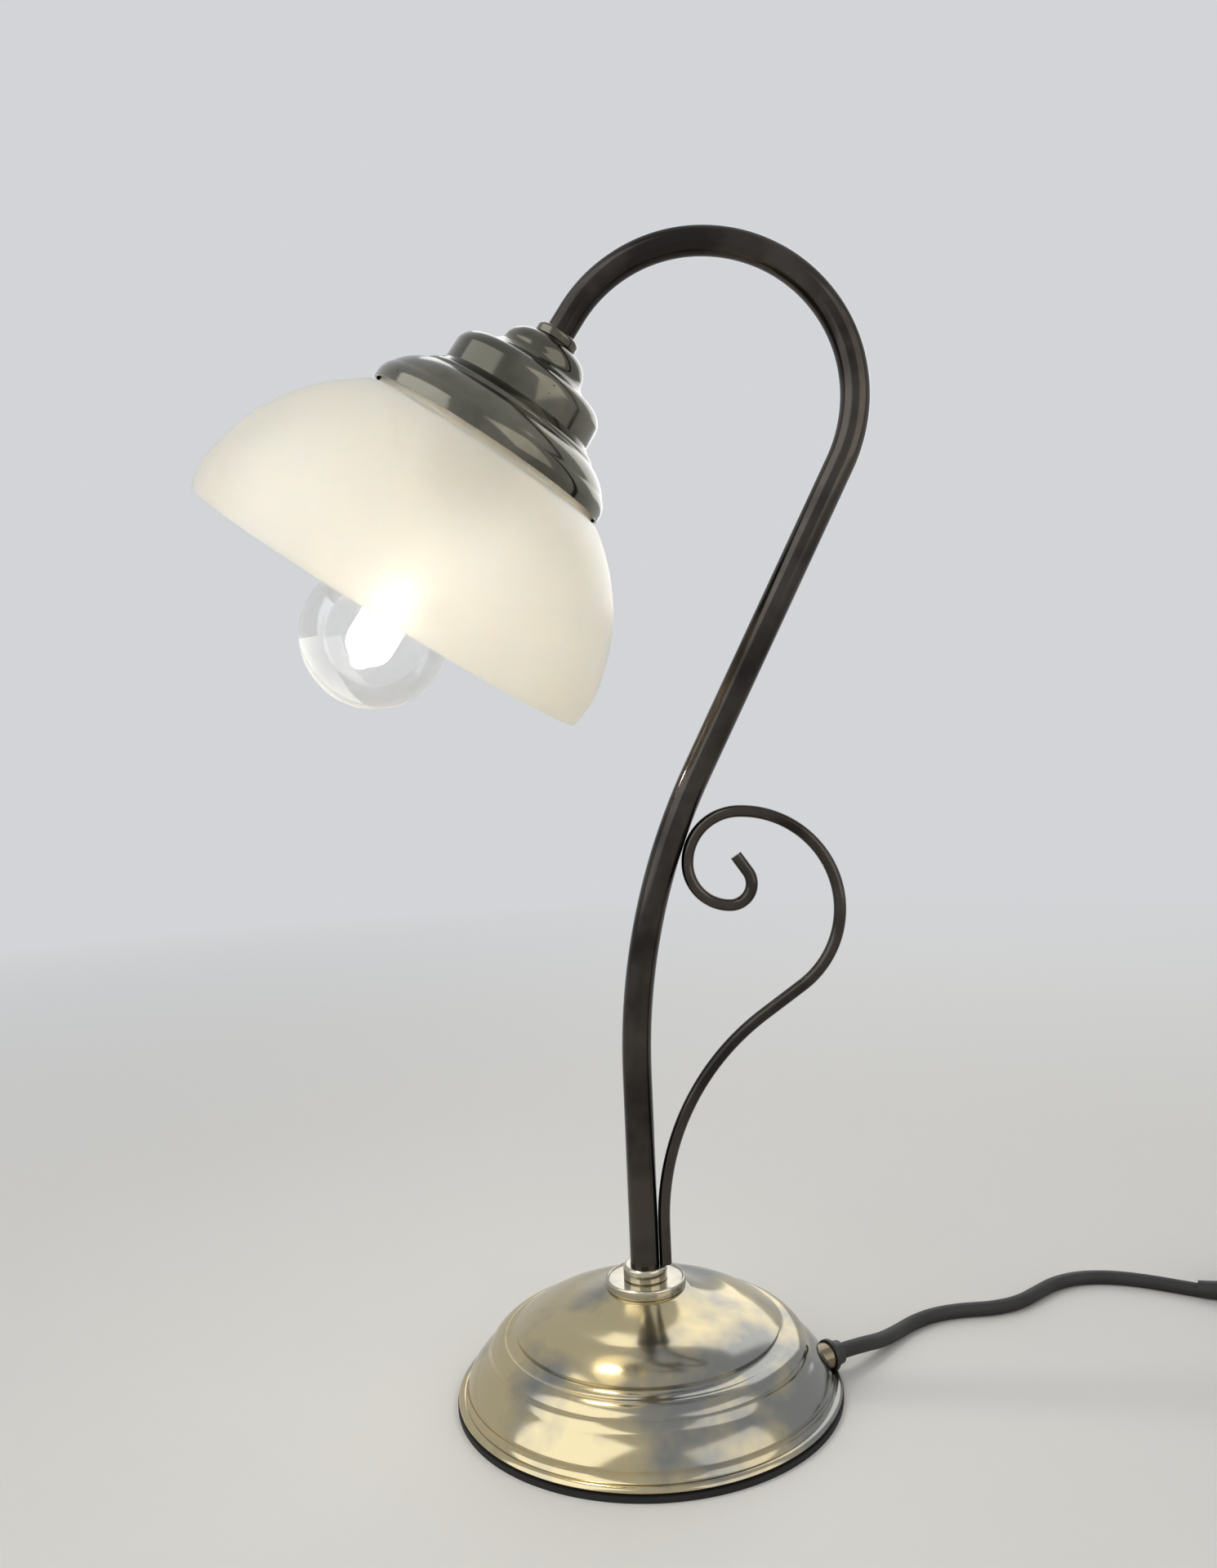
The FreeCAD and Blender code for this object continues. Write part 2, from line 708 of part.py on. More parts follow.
def lampholder_cap():
    """Domed cap of the lampholder, screwed on the nipple."""
    roof = "lampholder_top + lampholder_roof"
    return turned("lampholder_cap", [
        (BORE + " + fit_gap", "lampholder_top"),
        ("lampholder_radius - lampholder_round", "lampholder_top"),
        ("lampholder_radius", "lampholder_top + lampholder_round", "lampholder_round"),
        ("lampholder_radius", LAMPHOLDER_SPLIT),
        (LAMPHOLDER_INNER, LAMPHOLDER_SPLIT),
        (LAMPHOLDER_INNER, roof + " + lampholder_roof"),
        (LAMPHOLDER_INNER + " - lampholder_roof", roof, "-lampholder_roof"),
        (BORE + " + fit_gap", roof),
    ], HEAD)


def lampholder_skirt():
    """Threaded skirt of the lampholder down to the mouth where the bulb enters."""
    mouth = "bulb_cap_radius + thread_gap"
    return turned("lampholder_skirt", [
        (LAMPHOLDER_INNER, LAMPHOLDER_SPLIT),
        ("lampholder_radius", LAMPHOLDER_SPLIT),
        ("lampholder_radius - lampholder_wall / 2", LAMPHOLDER_END),
        (mouth, LAMPHOLDER_END),
        (mouth, LAMPHOLDER_END + " - mouth_lip"),
        (LAMPHOLDER_INNER, LAMPHOLDER_END + " - 3 * mouth_lip"),
    ], HEAD)


def lampholder_insert():
    """Ceramic insert with the threaded well and the seat of the contact."""
    outer = LAMPHOLDER_INNER + " - insert_gap"
    well = "bulb_cap_radius + thread_gap"
    return turned("lampholder_insert", [
        ("0", CONTACT_FLOOR + " - insert_floor"),
        (outer, CONTACT_FLOOR + " - insert_floor"),
        (outer, BULB_BASE + " + contact_height"),
        (well, BULB_BASE + " + contact_height"),
        (well, CONTACT_FLOOR),
        ("0", CONTACT_FLOOR),
    ], HEAD)


def lampholder_contact():
    """Brass contact under the tip of the bulb."""
    return turned("lampholder_contact", [
        ("0", CONTACT_FLOOR),
        ("contact_radius", CONTACT_FLOOR),
        ("contact_radius - contact_rise", CONTACT_FLOOR + " + contact_rise", "contact_rise"),
        ("0", CONTACT_FLOOR + " + contact_rise"),
    ], HEAD)


def bulb_cap():
    """Screw cap of the bulb with its insulated tip."""
    return turned("bulb_cap", [
        ("0", CONTACT_FLOOR + " + contact_rise"),
        ("contact_radius - contact_rise", CONTACT_FLOOR + " + contact_rise"),
        ("contact_radius + 2 * contact_rise", BULB_BASE),
        ("bulb_cap_radius - contact_rise", BULB_BASE + " + contact_rise"),
        ("bulb_cap_radius", BULB_BASE + " + contact_height"),
        ("bulb_cap_radius", BULB_NECK_END),
        ("0", BULB_NECK_END),
    ], HEAD)


def bulb_glass():
    """Clear glass bulb: neck, flare and sphere."""
    centre = "(bulb_tip - bulb_radius)"
    return spun("bulb_glass", [
        ("bulb_cap_radius - 0.2", BULB_NECK_END),
        ("bulb_neck_radius", BULB_NECK_END + " + bulb_neck_length", "-bulb_neck_sweep"),
        ("bulb_radius * 0.8", centre + " - bulb_radius * 0.6", "-bulb_flare_sweep"),
        ("bulb_radius", centre, "bulb_radius"),
        ("0", "bulb_tip", "bulb_radius"),
    ], "bulb_glass_wall", HEAD)


def glass_shade():
    """Opal glass shade: fitter neck, flared shoulder, full belly and a rim drawn in a little."""
    return spun("glass_shade", [
        ("fitter_radius", "fitter_height"),
        ("fitter_radius", "shade_root_height - shade_shelf"),
        ("shade_root_radius", "shade_root_height", "-shelf_sweep"),
        ("shade_hip_radius", "shade_hip_height", "shoulder_sweep"),
        ("shade_belly_radius", "shade_belly_height", "shoulder_sweep"),
        ("shade_rim_radius", "shade_rim_height", "rim_sweep"),
    ], "glass_wall", HEAD)


def shade_clips():
    """Three spring clips inside the gallery that hold the fitter neck of the glass."""
    outer = value("gallery_radius - holder_wall - clip_gap")
    inner = outer - value("clip_thickness")
    height = value(HOLDER_SEAT + " + gallery_height - clip_length")
    ring = Part.makeCylinder(outer, value("clip_length"), Vector(0, 0, height))
    bore = Part.makeCylinder(inner, value("clip_length"), Vector(0, 0, height))
    band = ring.cut(bore)
    width = value("clip_width")
    clips = []
    for turn in (0, 120, 240):
        block = Part.makeBox(outer, width, value("clip_length"), Vector(0, -width / 2, height))
        block.rotate(Vector(), Vector(0, 0, 1), turn + 60)
        clips.append(band.common(block))
    feature = doc.addObject("Part::Feature", "shade_clips")
    feature.Shape = Part.makeCompound(clips)
    return sub_part(feature, "shade_clips", HEAD)


# Bush and cord
def bush_place():
    """The axis of the bush, level, turned a little back from the radius by the pull of the cord."""
    around = Rotation(Vector(0, 0, 1), value("bush_azimuth"))
    spot = around.multVec(Vector(value("bush_place"), 0, value("bush_height")))
    level = Rotation(Vector(0, 1, 0), 90)
    aim = Rotation(Vector(0, 0, 1), value("bush_azimuth + bush_turn")).multiply(level)
    return Placement(spot, aim)


def cord_bush():
    """Flanged bush that leads the cord out of the base."""
    bore = "(cord_diameter / 2 + fit_gap)"
    return turned("cord_bush", [
        (bore, "-bush_tail"),
        ("bush_radius", "-bush_tail"),
        ("bush_radius", "0"),
        ("bush_flange_radius", "0"),
        ("bush_flange_radius", "bush_flange_thickness - bush_taper"),
        ("bush_flange_radius - bush_taper", "bush_flange_thickness", "bush_taper"),
        ("bush_radius", "bush_flange_thickness"),
        ("bush_radius - bush_taper", "bush_length"),
        (bore, "bush_length"),
    ], bush_place())


def drilled_for_bush(shell):
    """The base shell with the hole that the bush sits in."""
    drill = doc.addObject("Part::Cylinder", "bush_hole")
    drill.setExpression("Radius", bound("bush_flange_radius + fit_gap"))
    drill.setExpression("Height", bound("bush_tail + bush_place"))
    deep = bush_place().multVec(Vector(0, 0, -value("bush_tail + 6")))
    drill.Placement = Placement(deep, bush_place().Rotation)
    holed = doc.addObject("Part::Cut", "drilled_shell")
    holed.Base = shell
    holed.Tool = drill
    return holed


def cord_lead():
    """Free cord from the bush over the floor to the switch."""
    inside = bush_place().multVec(Vector(0, 0, -value("bush_tail / 2")))
    mouth = bush_place().multVec(Vector(0, 0, value("bush_length + 3")))
    wire, radii = cord_path([tuple(inside), tuple(mouth)] + CORD_RUN)
    print("cord_lead radii: " + " ".join("%.0f" % radius for radius in radii))
    return swept_cord("cord_lead", wire)


def biarc(start, heading, end, way):
    """Two tangent arcs between two places with opposite level headings."""
    reach = (end - start).Length / 2
    join = (start + end) / 2 + (heading - way) / 2 * reach
    edges = []
    for base, aim, far in ((start, heading, join), (end, way * -1, join)):
        chord = far - base
        flat = aim * aim.dot(chord)
        off = chord - flat
        radius = chord.dot(chord) / (2 * off.Length)
        centre = base + off.normalize() * radius
        middle = centre + ((base - centre) + (far - centre)).normalize() * radius
        edges.append((base, middle, far))
    first = Part.Arc(*edges[0]).toShape()
    last = Part.Arc(edges[1][2], edges[1][1], edges[1][0]).toShape()
    return [first, last]


def coil_stations():
    """Ends of the half turns: inwards on the floor, one climb, then outwards on the layer above."""
    pitch = value("cord_diameter + coil_gap")
    climb = value("cord_diameter + coil_layer_gap")
    halves = int(round(value("coil_turns") * 2))
    outer = value("coil_mean_radius") + pitch * value("coil_turns") / 2
    low = value("cord_diameter / 2")
    inward = [outer - pitch * half / 2 for half in range(halves + 1)]
    radii = inward + inward[::-1]
    stations = []
    for number, radius in enumerate(radii):
        side = 1 if number % 2 == 0 else -1
        height = low if number <= halves else low + climb
        stations.append(Vector(COIL_PLACE[0], COIL_PLACE[1] + side * radius, height))
    return stations


def cord_coil():
    """The cord's spare length, wound in a flat coil of two layers."""
    stations = coil_stations()
    edges = []
    straight = value("cord_diameter")
    way = Vector(1, 0, 0)
    edges.append(Part.LineSegment(stations[0] - way * straight, stations[0]).toShape())
    for start, end in zip(stations, stations[1:]):
        edges.extend(biarc(start, way, end, way * -1))
        way = way * -1
    edges.append(Part.LineSegment(stations[-1], stations[-1] + way * straight).toShape())
    wire = Part.Wire(edges)
    spots = wire.discretize(Distance=2.0)
    least = min((spot - other).Length for number, spot in enumerate(spots) for other in spots[number + 12:])
    print("cord_coil: least gap to itself %.2f mm" % (least - value("cord_diameter")))
    return swept_cord("cord_coil", wire)


def centred_box(length, width, low, high):
    """A box centred on the vertical axis between two heights."""
    return Part.makeBox(length, width, high - low, Vector(-length / 2, -width / 2, low))


def switch_half(label, low, high):
    """One half of the switch housing, rounded along its length, with the cord's way through it."""
    length = value("switch_length")
    width = value("switch_width")
    tall = value("switch_height")
    wall = value("switch_wall")
    round_off = value("switch_round")
    block = centred_box(length, width, 0, tall)
    uprights = [edge for edge in block.Edges if abs(edge.tangentAt(0).z) > 0.5]
    block = block.makeFillet(round_off, uprights)
    tops = [edge for edge in block.Edges if edge.BoundBox.ZMin > tall - 0.01]
    block = block.makeFillet(round_off / 2, tops)
    core = centred_box(length - 2 * value("switch_end"), width - 2 * wall, wall, tall - wall)
    cheeks = centred_box(value("cheek_length"), value("cheek_width"), value("switch_split"), tall - wall)
    cord = Part.makeCylinder(value("cord_diameter / 2 + fit_gap"), length,
                             Vector(-length / 2, 0, value("cord_diameter / 2")), Vector(1, 0, 0))
    well_length = value("rocker_length + 2 * rocker_gap")
    well_width = value("rocker_width + 2 * rocker_gap")
    well = centred_box(well_length, well_width, tall - value("well_depth"), tall)
    throat = centred_box(value("cheek_length") + value("rocker_gap") / 4, well_width, wall, tall)
    reach = value("rocker_width + 2 * rocker_pin_length + 1")
    journal = Part.makeCylinder(value("rocker_pin_radius + pin_play"), reach,
                                Vector(0, -reach / 2, value("rocker_pivot_height")), Vector(0, 1, 0))
    half = centred_box(length, width, low, high)
    shape = block.cut(core).fuse(cheeks).cut([cord, well, journal, throat]).common(half)
    feature = doc.addObject("Part::Feature", label)
    feature.Shape = shape.removeSplitter()
    return sub_part(feature, label, Placement(Vector(SWITCH_PLACE[0], SWITCH_PLACE[1], 0), Rotation()))


def switch_rocker():
    """Rocker on two small pins, pressed down at the end towards the lamp: the lamp is on."""
    width = value("rocker_width")
    pivot = value("rocker_pivot_height")
    reach = value("rocker_length / 2")
    edge_top = value("rocker_edge_height")
    skirt = value("rocker_skirt")
    keel = value("rocker_keel_length / 2")
    depth = -value("rocker_keel_depth")
    left_top = Vector(-reach, 0, edge_top)
    right_top = Vector(reach, 0, edge_top)
    dip = Vector(0, 0, edge_top - value("rocker_hollow"))
    below = [right_top, Vector(reach, 0, skirt), Vector(keel, 0, depth), Vector(-keel, 0, depth),
             Vector(-reach, 0, skirt), left_top]
    edges = [Part.Arc(left_top, dip, right_top).toShape()]
    edges += [Part.LineSegment(start, end).toShape() for start, end in zip(below, below[1:])]
    face = Part.Face(Part.Wire(edges))
    paddle = face.extrude(Vector(0, width, 0))
    paddle.translate(Vector(0, -width / 2, 0))
    pin = Part.makeCylinder(value("rocker_pin_radius"), value("rocker_width + 2 * rocker_pin_length"),
                            Vector(0, -value("rocker_width / 2 + rocker_pin_length"), 0), Vector(0, 1, 0))
    feature = doc.addObject("Part::Feature", "switch_rocker")
    feature.Shape = paddle.fuse(pin).removeSplitter()
    place = Placement(Vector(SWITCH_PLACE[0], SWITCH_PLACE[1], pivot),
                      Rotation(Vector(0, 1, 0), -value("rocker_angle")))
    return sub_part(feature, "switch_rocker", place)


PLUG_PLACE = Placement(Vector(COIL_PLACE[0] + PLUG_OFFSET[0], COIL_PLACE[1] + PLUG_OFFSET[1], 0),
                       Rotation(Vector(0, 0, 1), 180))


def plug_body():
    """Flat two-pin plug: a hexagonal body that narrows to the neck where the cord enters."""
    length = value("plug_length")
    half = value("plug_width / 2")
    neck = value("plug_neck_width / 2")
    nose = value("plug_nose")
    slope = length * 0.55
    corners = [Vector(0, -neck, 0), Vector(slope, -half, 0), Vector(length, -half + nose, 0),
               Vector(length, half - nose, 0), Vector(slope, half, 0), Vector(0, neck, 0)]
    block = Part.Face(Part.makePolygon(corners + corners[:1])).extrude(Vector(0, 0, value("plug_height")))
    block = block.makeFillet(value("plug_round"), block.Edges)
    along = Vector(1, 0, 0)
    middle = Vector(0, 0, value("plug_height / 2"))
    sleeve_length = value("plug_neck_length")
    sleeve_radius = neck - value("plug_round") / 2
    sleeve = Part.makeCone(value("cord_diameter / 2 + sleeve_wall"), sleeve_radius, sleeve_length,
                           middle - along * sleeve_length, along)
    root = Part.makeCylinder(sleeve_radius, slope / 2, middle, along)
    feature = doc.addObject("Part::Feature", "plug_body")
    feature.Shape = block.fuse([sleeve, root]).removeSplitter()
    return sub_part(feature, "plug_body", PLUG_PLACE)


def plug_pins():
    """Two round pins with domed ends."""
    pins = []
    for side in (-1, 1):
        base = Vector(value("plug_length"), side * value("pin_spacing / 2"), value("plug_height / 2"))
        straight = Vector(value("pin_length - pin_radius"), 0, 0)
        shank = Part.makeCylinder(value("pin_radius"), straight.x, base, straight)
        tip = Part.makeSphere(value("pin_radius"), base + straight)
        pins.append(shank.fuse(tip).removeSplitter())
    feature = doc.addObject("Part::Feature", "plug_pins")
    feature.Shape = Part.makeCompound(pins)
    return sub_part(feature, "plug_pins", PLUG_PLACE)


def cord_link():
    """Free cord from the switch to the coil."""
    start = Vector(SWITCH_PLACE[0] + value("switch_length / 2"), SWITCH_PLACE[1], value("cord_diameter / 2"))
    goal = coil_stations()[0] - Vector(value("cord_diameter"), 0, 0)
    span = goal - start
    points = [start, start + Vector(span.x * 0.3, 0, 0), goal - Vector(span.x * 0.3, 0, 0), goal]
    wire, radii = cord_path([tuple(point) for point in points])
    print("cord_link radii: " + " ".join("%.0f" % radius for radius in radii))
    return swept_cord("cord_link", wire)


def cord_tail():
    """Free cord from the top layer of the coil down to the plug."""
    start = coil_stations()[-1] + Vector(-value("cord_diameter"), 0, 0)
    goal = PLUG_PLACE.multVec(Vector(-value("plug_neck_length"), 0, value("plug_height / 2")))
    low = value("cord_diameter / 2") - start.z
    steps = [(0, 0, 0)] + TAIL_STEPS + [step + (low,) for step in TAIL_FLOOR_STEPS]
    points = [start + Vector(*step) for step in steps] + [goal + Vector(17, 0, 0), goal]
    wire, radii = cord_path([tuple(point) for point in points])
    print("cord_tail radii: " + " ".join("%.0f" % radius for radius in radii))
    return swept_cord("cord_tail", wire)


def build():
    """Makes every sub-part."""
    base_foot()
    base_shell()
    base_weight()
    base_cup()
    foot_collar()
    base_washer()
    base_nut()
    neck_tube()
    scroll_rod()
    head_ferrule()
    head_nipple()
    shade_holder()
    lampholder_cap()
    lampholder_skirt()
    lampholder_insert()
    lampholder_contact()
    bulb_cap()
    bulb_glass()
    glass_shade()
    shade_clips()
    cord_bush()
    cord_lead()
    switch_half("switch_base", 0.0, value("switch_split"))
    switch_half("switch_cover", value("switch_split"), value("switch_height"))
    switch_rocker()
    cord_link()
    cord_coil()
    cord_tail()
    plug_body()
    plug_pins()


def export():
    """Checks every object, then writes each sub-part to its own file."""
    doc.recompute()
    for thing in doc.Objects:
        if "Invalid" in thing.State or "Error" in thing.State:
            raise ValueError("%s failed: %s" % (thing.Label, thing.State))
    for thing in SUB_PARTS:
        if thing.Shape.isNull() or not thing.Shape.isValid() or not thing.Shape.Solids:
            raise ValueError("%s has no valid solid" % thing.Label)
    os.makedirs("parts", exist_ok=True)
    for thing in SUB_PARTS:
        thing.Shape.exportStep("parts/%s.step" % thing.Label)
        print("%-20s solids %d volume %10.1f" % (thing.Label, len(thing.Shape.Solids), thing.Shape.Volume))


build()
export()
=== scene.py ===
"""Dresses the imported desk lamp: finishes of metal, glass and plastic, the cord and the lit bulb."""
import math

import bmesh
import bpy
from bpy.props import FloatProperty, FloatVectorProperty, PointerProperty
from mathutils import Matrix, Vector


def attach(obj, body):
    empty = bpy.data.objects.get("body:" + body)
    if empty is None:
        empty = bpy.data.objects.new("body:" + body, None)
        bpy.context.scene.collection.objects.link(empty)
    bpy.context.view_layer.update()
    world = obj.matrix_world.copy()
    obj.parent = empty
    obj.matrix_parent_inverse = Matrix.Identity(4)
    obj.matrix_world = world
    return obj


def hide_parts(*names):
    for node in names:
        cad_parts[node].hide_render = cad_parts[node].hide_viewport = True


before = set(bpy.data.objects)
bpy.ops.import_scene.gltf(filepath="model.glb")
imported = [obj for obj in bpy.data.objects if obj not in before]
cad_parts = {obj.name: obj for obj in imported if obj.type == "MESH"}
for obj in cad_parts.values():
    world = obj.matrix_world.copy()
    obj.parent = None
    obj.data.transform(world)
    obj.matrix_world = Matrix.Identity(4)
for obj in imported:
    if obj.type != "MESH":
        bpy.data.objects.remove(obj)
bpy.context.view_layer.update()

bl_info = {
    "name": "Scroll Desk Lamp",
    "version": (1, 0, 0),
    "blender": (4, 5, 0),
    "location": "View3D > Sidebar > Lamp",
    "description": "Builds the finishes, glass, bulb and cord of a bent-neck desk lamp",
    "category": "Object",
}

MM = 0.001


def colour(code):
    """Linear colour with full alpha from an sRGB hex code."""
    parts = [int(code[i:i + 2], 16) / 255 for i in (0, 2, 4)]
    return [c / 12.92 if c <= 0.04045 else ((c + 0.055) / 1.055) ** 2.4 for c in parts] + [1.0]


class LampSizes(bpy.types.PropertyGroup):
    """Sizes that the dressed pieces share with the lamp's solids."""

    cord_width: FloatProperty(name="Cord width", description="Thickness of the cord",
                              default=6.2 * MM, unit="LENGTH")
    cord_length: FloatProperty(name="Cord length", description="Length of the cord out of the base",
                               default=1.84, unit="LENGTH")
    relief_root: FloatProperty(name="Relief root",
                               description="Radius of a strain relief at its housing",
                               default=5.0 * MM, unit="LENGTH")
    relief_tip: FloatProperty(name="Relief tip",
                              description="Radius of a strain relief at its thin end",
                              default=3.7 * MM, unit="LENGTH")
    capsule_glow: FloatProperty(name="Capsule glow",
                                description="Strength of the hot core of the bulb", default=150.0)


class LampColours(bpy.types.PropertyGroup):
    """Colours of the lamp's finishes."""

    nickel: FloatVectorProperty(name="Nickel", description="Aged champagne nickel of the base",
                                default=colour("BFB18C"), subtype="COLOR", size=4)
    # Blue-grey painted reflection of a darker room, laid on the base's nickel in clouds
    painted_reflection: FloatVectorProperty(name="Tarnish", description="Blue-grey tarnish on the base",
                                 default=colour("7B7F82"), subtype="COLOR", size=4)
    nickel_head: FloatVectorProperty(name="Holder nickel", description="Gunmetal nickel of the holder",
                                     default=colour("777468"), subtype="COLOR", size=4)
    nickel_dark: FloatVectorProperty(name="Dark nickel",
                                     description="Polished dark nickel of neck and scroll",
                                     default=colour("4B4641"), subtype="COLOR", size=4)
    opal: FloatVectorProperty(name="Opal", description="Satin opal glass", default=colour("EFEFEA"),
                              subtype="COLOR", size=4)
    plastic: FloatVectorProperty(name="Plastic", description="Black moulded plastic",
                                 default=colour("1C1B1A"), subtype="COLOR", size=4)
    cord: FloatVectorProperty(name="Cord", description="Dark grey sheath of the cord",
                              default=colour("1D1C1A"), subtype="COLOR", size=4)


# Places and lines that the solids share, in millimetres and degrees

HEAD_TILT = 35.0
CORD_ROUTE = [
    (89.5, 23.2, 7.6), (97.6, 33.0, 4.6), (105.6, 43.4, 3.1), (114.2, 53.2, 3.1), (125.0, 61.2, 3.1),
    (138.0, 65.6, 3.1), (152.0, 67.4, 3.1), (165.0, 73.4, 3.1), (175.2, 83.8, 3.1), (185.6, 94.0, 3.1),
    (198.4, 100.4, 3.1), (213.0, 101.2, 3.1), (227.6, 97.2, 3.1), (241.4, 90.6, 3.1), (256.0, 83.6, 3.1)]
TAIL_STEPS = [
    (0, 0, 0), (-11, 0, 0), (-25, -3, -2.4), (-39, -10.5, -5.6), (-50, -21, -7.1), (-60, -31, -7.1),
    (-75, -40.5, -7.1)]
FLOOR_LINE = 3.1
COIL_CENTRE = (412.0, 48.6)
COIL_RADIUS = 35.0
COIL_PITCH = 8.1
COIL_CLIMB = 7.1
PLUG_MOUTH = (300.0, -43.4, 6.85)
SWITCH_ENDS = (268.0, 299.0, 330.0)
SWITCH_LINE = 83.6
BUSH_AZIMUTH = 7.0
BUSH_AIM = 37.0
BUSH_PLACE = 74.0
BUSH_HEIGHT = 9.4
# Steps along the bush's axis to the cord's first three points
BUSH_STEPS = (-3.5, 3.0, 9.2)
COIL_TURNS = 3
COIL_STEPS = 12
# How far before the coil's middle the cord joins and leaves it
COIL_END_SHIFT = 6.2
# Share of the way from switch to coil that the cord runs straight at each end
LINK_SHARE = 0.3
PLUG_RUN = 17.0
RELIEF_LIFT = 0.1
SWITCH_RELIEF_LAMP = [(248.7, 87.1, 3.1), (256.0, 83.6, 3.1), (268.0, 83.6, 3.1), (270.0, 83.6, 3.1)]
SWITCH_RELIEF_COIL = [(328.0, 83.6, 3.1), (336.0, 83.6, 3.1), (344.0, 83.6, 3.1), (351.0, 84.2, 3.1)]
PLUG_RELIEF = [(298.0, -43.4, 6.85), (308.5, -43.4, 6.85), (317.0, -43.4, 6.85), (323.9, -41.2, 4.97)]
# The plug's relief is a little thinner at its root than the switch's
PLUG_RELIEF_SHARE = 0.9

# The lamp's own outlines, in millimetres: (radius, height, radius of the arc that arrives)

BASE_OUTLINE = [
    (6.05, 43.0), (16.8, 43.0), (38.0, 35.9, 60), (54.1, 28.5, -46), (54.1, 26.9), (59.0, 25.6, 7),
    (64.4, 21.7, -9), (66.6, 17.4, 6.5), (74.2, 8.6, -24), (75.5, 4.9, 4),
    (78.4, 3.55, -2.4), (77.5, 2.2, -2.4)]
HOLDER_OUTLINE = [
    (5.0, 5.5), (11.0, 5.5), (18.3, 13.5, 9), (20.3, 16.1, -5), (27.5, 19.2, -14), (33.4, 25.2, 8),
    (33.6, 33.7), (36.4, 36.3), (39.7, 38.9, 5), (50.2, 47.6, 22), (53.0, 53.6, 9), (53.0, 56.1)]
SHADE_OUTLINE = [
    (50.4, 51.7), (50.4, 56.3), (55.0, 58.9, -3.5), (79.5, 85.0, 88),
    (91.0, 118.0, 88), (89.7, 132.0, 36)]
NECK_FOOT = (0.0, 4.0)
NECK_RADII = [6.0, 5.0]
NECK_MOVES = [
    ("straight", 127.0), ("right", 270.0, 27.1), ("straight", 135.0), ("left", 63.5, 117.1),
    ("left", 59.0, 55.0), ("straight", 13.5)]
ROD_FOOT = (8.55, 52.0)
ROD_RADII = [2.5]
ROD_MOVES = [
    ("straight", 15.5), ("right", 107.0, 54.0), ("straight", 19.4), ("left", 39.5, 144.0),
    ("left", 21.1, 90.0), ("left", 17.0, 90.0), ("left", 8.7, 124.0), ("straight", 8.0)]
NECK_END = (-18.88, 0.0, 434.07)
BUSH_BARREL = [(5.22, -0.1), (5.5, -0.1), (5.5, -6.8), (5.22, -6.8), (5.22, -0.1)]
STEM_OUTLINE = [(0.0, 92.0), (7.0, 92.0), (4.6, 100.0, 12), (2.4, 122.0), (1.4, 134.0), (0.0, 134.6)]
CAPSULE_OUTLINE = [(0.0, 114.0), (4.0, 115.5, 5), (7.0, 122.0, 12), (7.0, 147.0), (0.0, 154.0, 7)]
BASE_WALL = 1.0
HOLDER_WALL = 0.9
SHADE_WALL = 2.2
RING_SEGMENTS = 80
BEND_STEPS_A_DEGREE = 0.9

# Camera in millimetres, then lights, room and floor in metres and watts

CAMERA_PLACE = (44.53, -498.51, 260.93)
CAMERA_RIGHT = (0.99396, 0.10157, -0.04164)
CAMERA_UP = (0.03917, 0.02617, 0.99889)
FOCAL_PIXELS = 1500.2
FRAME_HEIGHT_PIXELS = 1920
# Name, place, aim, sides, power, tint
LIGHTS = [
    ("window", (-1.3, -0.9, 1.3), (0, 0, 0.2), (2.0, 2.2), 17, (0.95, 0.97, 1.0)),
    ("fill", (1.5, -1.0, 0.9), (0, 0, 0.2), (1.6, 1.8), 9, (1.0, 0.96, 0.9)),
    ("back", (0.4, 1.4, 1.1), (0, 0, 0.25), (1.6, 1.4), 8, (1.0, 1.0, 1.0))]
ROOM_COLOUR = colour("E1E3E6")
ROOM_LEVEL = 0.86
ROOM_LIGHT = 0.5
FLOOR_REACH = 6.0
FLOOR_FADE = (0.45, 1.7)

# From one mark to the next in each finish, in millimetres

# Size of the clouds of painted reflection on the nickel
REFLECTION_CLOUD = 52.63
PIT_CELL = 3.03
PIT_PATCH = 16.67
WIPE_MARK = 25.0
PLATE_WAVE = 38.46
MILK_CLOUD = 71.43
# Real bubbles lie under 1 mm apart and wouldn't show, so they are drawn coarser
BUBBLE_CELL = 2.381
# Real dust is under 0.1 mm and wouldn't show, so it is drawn coarser
DUST_GRAIN = 3.846
SEED_CELL = 3.333
SHADE_PATCH = 16.67
RUB_MARK = 28.57
# A mould's grain is about 0.3 mm and wouldn't show, so it is drawn coarser
MOULD_GRAIN = 1.111
# Marks of turning, pressing and casting are under 1 mm and wouldn't show, so they are drawn coarser
TURNING_MARK = 16.67
STEEL_MARK = 8.333
CAST_MARK = 11.11
PIN_MARK = 12.5

# Sockets of a colour mix, whose names repeat
MIX_SHARE, MIX_LOW, MIX_HIGH, MIX_RESULT = 0, 6, 7, 2


def linked(name, data, body=None):
    """A new object in the scene that rides on a body if one is given."""
    thing = bpy.data.objects.new(name, data)
    bpy.context.scene.collection.objects.link(thing)
    if body:
        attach(thing, body)
    return thing


def area_light(name, place, aim, size, power, tint):
    """A soft rectangular light that looks at a point."""
    data = bpy.data.lights.new(name, "AREA")
    data.shape = "RECTANGLE"
    data.size, data.size_y = size
    data.energy = power
    data.color = tint
    light = linked(name, data)
    light.location = place
    light.rotation_euler = (Vector(aim) - Vector(place)).to_track_quat("-Z", "Y").to_euler()
    return light


